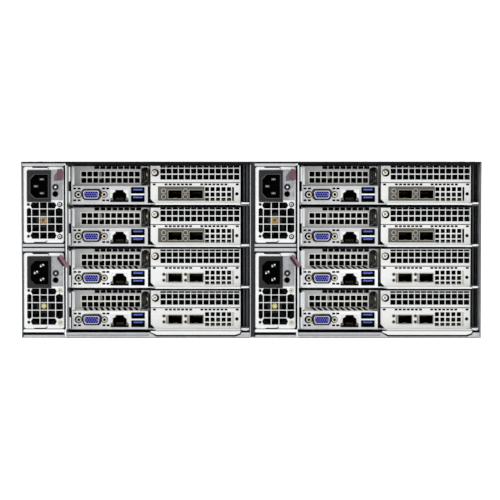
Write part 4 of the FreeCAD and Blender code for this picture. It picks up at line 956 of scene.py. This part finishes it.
def latch_ribs(tilt):
    """Grip ribs in a lighter maroon as painted highlight, on both sides of a latch tab; the lower latches rest swung
    over by tilt degrees.
    """
    s = Shape()
    u0, z0 = 38.2, 69.4
    for k in range(5):
        w = z0 - 7.0 + 1.7 * k
        s.box(u0 - 2.6, u0 + 2.6, -9.4, -2.0, w - 0.42, w + 0.42, maroon_painted_highlight, 0.2)
    if tilt:
        # painted shade on the left side, painted highlight on the right side and on the tip of the tab
        s.prism("y", [(u0 - 2.25, z0 + 1.7), (u0 - 1.4, z0 + 2.4), (u0 + 0.1, z0 + 2.4), (u0 - 0.1, z0 - 8.2), (u0 - 1.4, z0 - 8.4), (u0 - 2.25, z0 - 7.5)], -10.1, -9.7, maroon_painted_shade)
        s.prism("y", [(u0 + 0.4, z0 + 1.9), (u0 + 1.3, z0 + 2.3), (u0 + 2.2, z0 + 1.6), (u0 + 2.2, z0 - 7.5), (u0 + 1.4, z0 - 8.4), (u0 + 0.3, z0 - 8.4)], -10.08, -9.7, maroon_painted_highlight)
        s.prism("y", [(u0 - 1.3, z0 - 8.2), (u0 + 2.1, z0 - 7.4), (u0 + 2.3, z0 - 9.8), (u0 + 1.6, z0 - 11.0), (u0 - 0.3, z0 - 11.0), (u0 - 1.3, z0 - 9.8)], -9.9, -3.0, maroon_painted_highlight, 0.25)
    else:
        s.box(u0 - 1.6, u0 + 1.6, -9.98, -9.2, z0 - 7.6, z0 + 1.4, maroon, 0.3)
    t = math.radians(tilt)
    c, sn = math.cos(t), math.sin(t)
    s.v = [(u0 + (u - u0) * c + (w - z0) * -sn, y, z0 + (u - u0) * sn + (w - z0) * c) for u, y, w in s.v]
    return s.mesh("latch_ribs")


made = {"case": case_parts(), "face1": supply_parts(False), "face2": supply_parts(True), "fan1": fan_cap(4.1, 1.7, hub_gold, hub_blue, "fan_cap_upper"), "fan2": fan_cap(2.75, 1.55, hub_yellow, white_plastic, "fan_cap_lower"), "up": latch_ribs(0.0), "down": latch_ribs(35.0)}
for side, k in SUPPLIES:
    n, xh, z = "psu_%s%d" % (side, k), XH[side], PSU_Z[k]
    put(made["face%d" % k], n + "_face_parts", n, xh, z)
    put(made["case"], n + "_case_parts", n, xh, z)
    put(made["fan%d" % k], n + "_fan_cap", n + "_fan", xh, z)
    put(made["up" if k == 1 else "down"], n + "_latch_ribs", n + "_latch", xh, z)


# ---------------------------------------------------------------- chassis details
def side_parts(sx):
    """Shoulder studs, rivets and pressed beads of one side wall."""
    s = Shape()
    x = 224.0 * sx
    for y in (60.0, 250.0, 440.0, 630.0):
        s.lathe("x", y, 86.0, [(6.0, x), (6.0, x + sx * 0.6), (3.2, x + sx * 0.7), (3.2, x + sx * 2.0), (4.6, x + sx * 2.2), (4.6, x + sx * 3.4), (4.0, x + sx * 3.8), (0, x + sx * 3.8)], nickel, 28)
    for y in range(30, 690, 60):
        for w in (8.0, 163.0):
            s.lathe("x", float(y), w, [(2.4, x), (2.2, x + sx * 0.5), (1.3, x + sx * 0.9), (0, x + sx * 1.0)], steel, 16)
    for w0, w1 in ((24.0, 30.0), (142.0, 148.0)):
        s.prism("x", rounded(40.0, 670.0, w0, w1, 2.9, 6), x, x + sx * 0.7, zinc, 0.6) if sx > 0 else s.prism("x", rounded(40.0, 670.0, w0, w1, 2.9, 6), x - 0.7, x, zinc, 0.6)
    return s.mesh("side_parts")


def top_parts():
    """Recesses of the cover screws, rivets and the finger dimples of the cover."""
    s = Shape()
    for sx in (-1, 1):
        for y in (40.0, 120.0, 200.0, 280.0, 350.0):
            screw_head(s, "z", sx * 218.8, y, 3.0, 171.7, 172.25, steel, 0.4 + y, 24)
    for x in (-206.0, -112.0, 0.0, 112.0, 206.0):
        for y in (14.0, 372.0, 724.0):
            s.lathe("z", x, y, [(2.6, 171.9), (2.4, 172.1), (1.4, 172.22), (0, 172.25)], black_paint, 18)
    for x in (-112.0, 112.0):
        for y0, y1 in ((60.0, 320.0), (400.0, 690.0)):
            s.holed("z", rounded(x - 84, x + 84, y0, y1, 6.0, 6), [rounded(x - 82.6, x + 82.6, y0 + 1.4, y1 - 1.4, 5.0, 6)], 171.6, 172.15, cover_edge)
        # finger dimple: a rim round a sunk disc in painted shade
        s.lathe("z", x, 345.0, [(11.0, 172.0), (10.4, 172.22), (8.6, 172.22), (8.0, 172.04), (0, 172.02)], cover_edge, 36)
        s.lathe("z", x, 345.0, [(7.6, 172.02), (7.2, 172.08), (0, 172.06)], shade_black, 32)
    # seam between the rear and front halves of the cover, with a line of painted shade beside it
    s.prism("x", [(358.9, 172.0), (359.1, 172.16), (360.4, 172.16), (360.6, 172.0)], -222.0, 222.0, cover_edge)
    s.prism("x", [(360.6, 172.0), (360.7, 172.06), (361.2, 172.06), (361.3, 172.0)], -222.0, 222.0, shade_black)
    return s.mesh("top_parts")


def ear_parts():
    s = Shape()
    for sx in (-1, 1):
        for w in (30.0, 86.0, 142.0):
            screw_head(s, "x", 704.0, w, 3.2, sx * 227.55, sx * 228.4, steel, 0.5, 24)
        # pull handle of each ear
        x = sx * 233.0
        s.tube([(x, 736.0, 120.0), (x, 748.0, 120.0), (x, 752.5, 118.6), (x, 755.0, 115.0), (x, 755.0, 57.0), (x, 752.5, 53.4), (x, 748.0, 52.0), (x, 736.0, 52.0)], 3.4, black_paint, 16)
        for w in (52.0, 120.0):
            s.lathe("y", x, w, [(5.4, 736.0), (5.2, 737.6), (4.0, 738.4), (3.4, 738.4)], black_paint, 24)
    return s.mesh("ear_parts")


def rear_parts():
    """Rounded rail ends in the lowest row, the hem of the cover in painted shade, and the upright channel in painted
    shade in the gap beside the sleds.
    """
    s = Shape()
    for xh, right in ((XH["a"], 222.4), (XH["b"], 220.4)):
        z = ROW_Z[4]
        k = right - 222.4
        # rounded rail end of the lowest row, pale zinc as painted highlight
        s.prism("z", [(xh + 214.3, 6.0), (xh + 215.6, 3.6), (xh + 217.4 + k / 2, 2.4), (xh + 219.8 + k, 2.8), (xh + 221.2 + k, 4.4), (xh + 221.4 + k, 30.0), (xh + 214.3, 30.0)], z + 1.6, z + 2.2, zinc_highlight, 0.1)
        s.tube([(xh + 214.6, 5.2, z + 1.9), (xh + 215.9, 3.6, z + 1.9), (xh + 217.6 + k / 2, 2.7, z + 1.9), (xh + 219.6 + k, 3.1, z + 1.9), (xh + 221.0 + k, 4.8, z + 1.9)], 0.55, zinc_highlight, 8)
        for row in (1, 2, 3, 4):
            z = ROW_Z[row]
            top = z + (40.8 if row > 1 else 42.0)
            # channel: two upright faces in dark grey painted shade with a fold between them, and its back in painted
            # shade
            s.prism("z", [(xh + 215.6, 27.0), (xh + 216.0, 26.0), (xh + 217.5, 26.0), (xh + 217.9, 27.0), (xh + 217.9, 29.0), (xh + 215.6, 29.0)], z + 3.8, top, channel_painted_shade)
            s.prism("z", [(xh + 218.5, 23.0), (xh + 218.9, 22.0), (xh + right - 1.4, 22.0), (xh + right - 1.0, 23.0), (xh + right - 1.0, 25.0), (xh + 218.5, 25.0)], z + 3.8, top, channel_painted_shade)
            s.prism("z", [(xh + 214.0, 44.0), (xh + right - 0.2, 40.0), (xh + right - 0.2, 41.0), (xh + 214.0, 45.0)], z + 3.8, top, shade_black)
        # hem of the cover over the sleds and over the supplies, black as the cover's edge with painted shade under it
        s.box(xh + 43.3, xh + right, -0.4, 0.0, 169.2, 171.95, foam_and_shade, 0.1)
        s.box(xh + 1.4, xh + 43.3, -0.4, 0.0, 170.35, 171.95, foam_and_shade, 0.1)
        # painted shade on the edge of the bay wall, and the pale fold of the wall beside it as painted highlight
        s.box(xh + 41.7, xh + 43.0, -0.3, 0.0, 8.8, 168.6, shade_black, 0.03)
        s.box(xh + 43.1, xh + 44.2, -0.35, 0.0, 8.8, 168.6, zinc_highlight, 0.05)
        # edge under the supplies: pale strip as painted highlight, groove in painted shade, pale foot
        s.prism("x", [(-0.35, 5.8), (-0.35, 8.3), (-0.1, 8.6), (0.9, 8.6), (0.9, 7.45), (0.0, 7.45), (0.0, 5.8)], xh + 2.0, xh + 41.6, zinc_highlight)
        s.box(xh + 1.2, xh + 41.6, -0.15, 0.0, 2.9, 5.9, shade_black, 0.02)
        s.prism("x", [(-0.4, 0.4), (-0.4, 2.6), (-0.2, 3.0), (0.0, 3.0), (0.0, 0.4)], xh + 2.0, xh + 41.6, zinc)
        # edge under the sleds: a bead, a foot in shaded zinc, and the apron below the lowest network bracket with its
        # cut corner, outlined in painted shade
        s.prism("x", [(-0.3, 2.4), (-0.3, 3.2), (0.0, 3.5), (0.0, 2.1)], xh + 43.6, xh + 124.0, strip)
        s.box(xh + 43.6, xh + right - 0.6, -0.15, 0.0, 0.15, 0.75, dark_zinc, 0.03)
        s.prism("y", [(xh + 125.4, 6.9), (xh + 126.2, 5.6), (xh + 131.6, 3.2), (xh + 208.0, 3.2), (xh + 212.6, 4.6), (xh + 213.8, 6.9)], -0.5, 0.0, bracket_plate, 0.12)
        s.prism("y", [(xh + 124.4, 6.9), (xh + 125.4, 5.0), (xh + 131.2, 1.5), (xh + 208.6, 1.5), (xh + 213.6, 3.6), (xh + 214.6, 6.9)], -0.2, 0.0, shade_black)
    # pale folded line on the divider
    s.tube([(-0.9, 0.0, 2.0), (-0.9, 0.0, 60.0), (-0.9, 0.0, 120.0), (-0.9, 0.0, 169.0)], 0.45, zinc, 8)
    return s.mesh("rear_parts")


put(side_parts(-1), "side_parts_left", "chassis")
put(side_parts(1), "side_parts_right", "chassis")
put(top_parts(), "top_parts", "chassis")
put(ear_parts(), "ear_parts", "chassis")
put(rear_parts(), "rear_parts", "chassis")


# ---------------------------------------------------------------- floor, light, camera
floor_mat = surf("floor_pale", (0.52, 0.52, 0.52), 0.85, 0.0, 0.01, (6, 6, 6), glow=((1.0, 1.0, 1.0), 0.75))
fm = bpy.data.meshes.new("floor")
fm.from_pydata([(-30, -30, 0), (30, -30, 0), (30, 30, 0), (-30, 30, 0)], [], [(0, 1, 2, 3)])
fm.materials.append(floor_mat)
floor = bpy.data.objects.new("floor", fm)
bpy.context.scene.collection.objects.link(floor)

world = bpy.data.worlds.new("studio")
bpy.context.scene.world = world
world.use_nodes = True
bg = world.node_tree.nodes["Background"]
bg.inputs["Color"].default_value = (1.0, 1.0, 1.0, 1.0)
bg.inputs["Strength"].default_value = 1.12


def area(name, loc, aim, size, power):
    li = bpy.data.lights.new(name, "AREA")
    li.shape = "RECTANGLE"
    li.size, li.size_y = size
    li.energy = power
    o = bpy.data.objects.new(name, li)
    o.location = loc
    o.rotation_mode = "QUATERNION"
    o.rotation_quaternion = (Vector(aim) - Vector(loc)).to_track_quat("-Z", "Y")
    bpy.context.scene.collection.objects.link(o)
    return o


area("key", (-0.9, -1.7, 1.5), (0, -0.3, 0.1), (1.2, 0.8), 3.0)
area("fill", (1.2, -1.6, 0.9), (0, -0.3, 0.1), (1.0, 0.8), 1.5)
area("top", (0.0, 0.4, 2.2), (0, 0, 0.1), (2.0, 2.0), 6.0)

cam = bpy.data.cameras.new("camera")
cam.sensor_width = 36.0
cam.lens = 147.9
co = bpy.data.objects.new("camera", cam)
co.location = (-0.0013, -0.376 - 2.0, 0.172)
co.rotation_mode = "XYZ"
co.rotation_euler = (math.radians(90.0 - 2.46), 0, 0)
bpy.context.scene.collection.objects.link(co)
bpy.context.scene.camera = co
bpy.context.scene.view_settings.view_transform = "Standard"
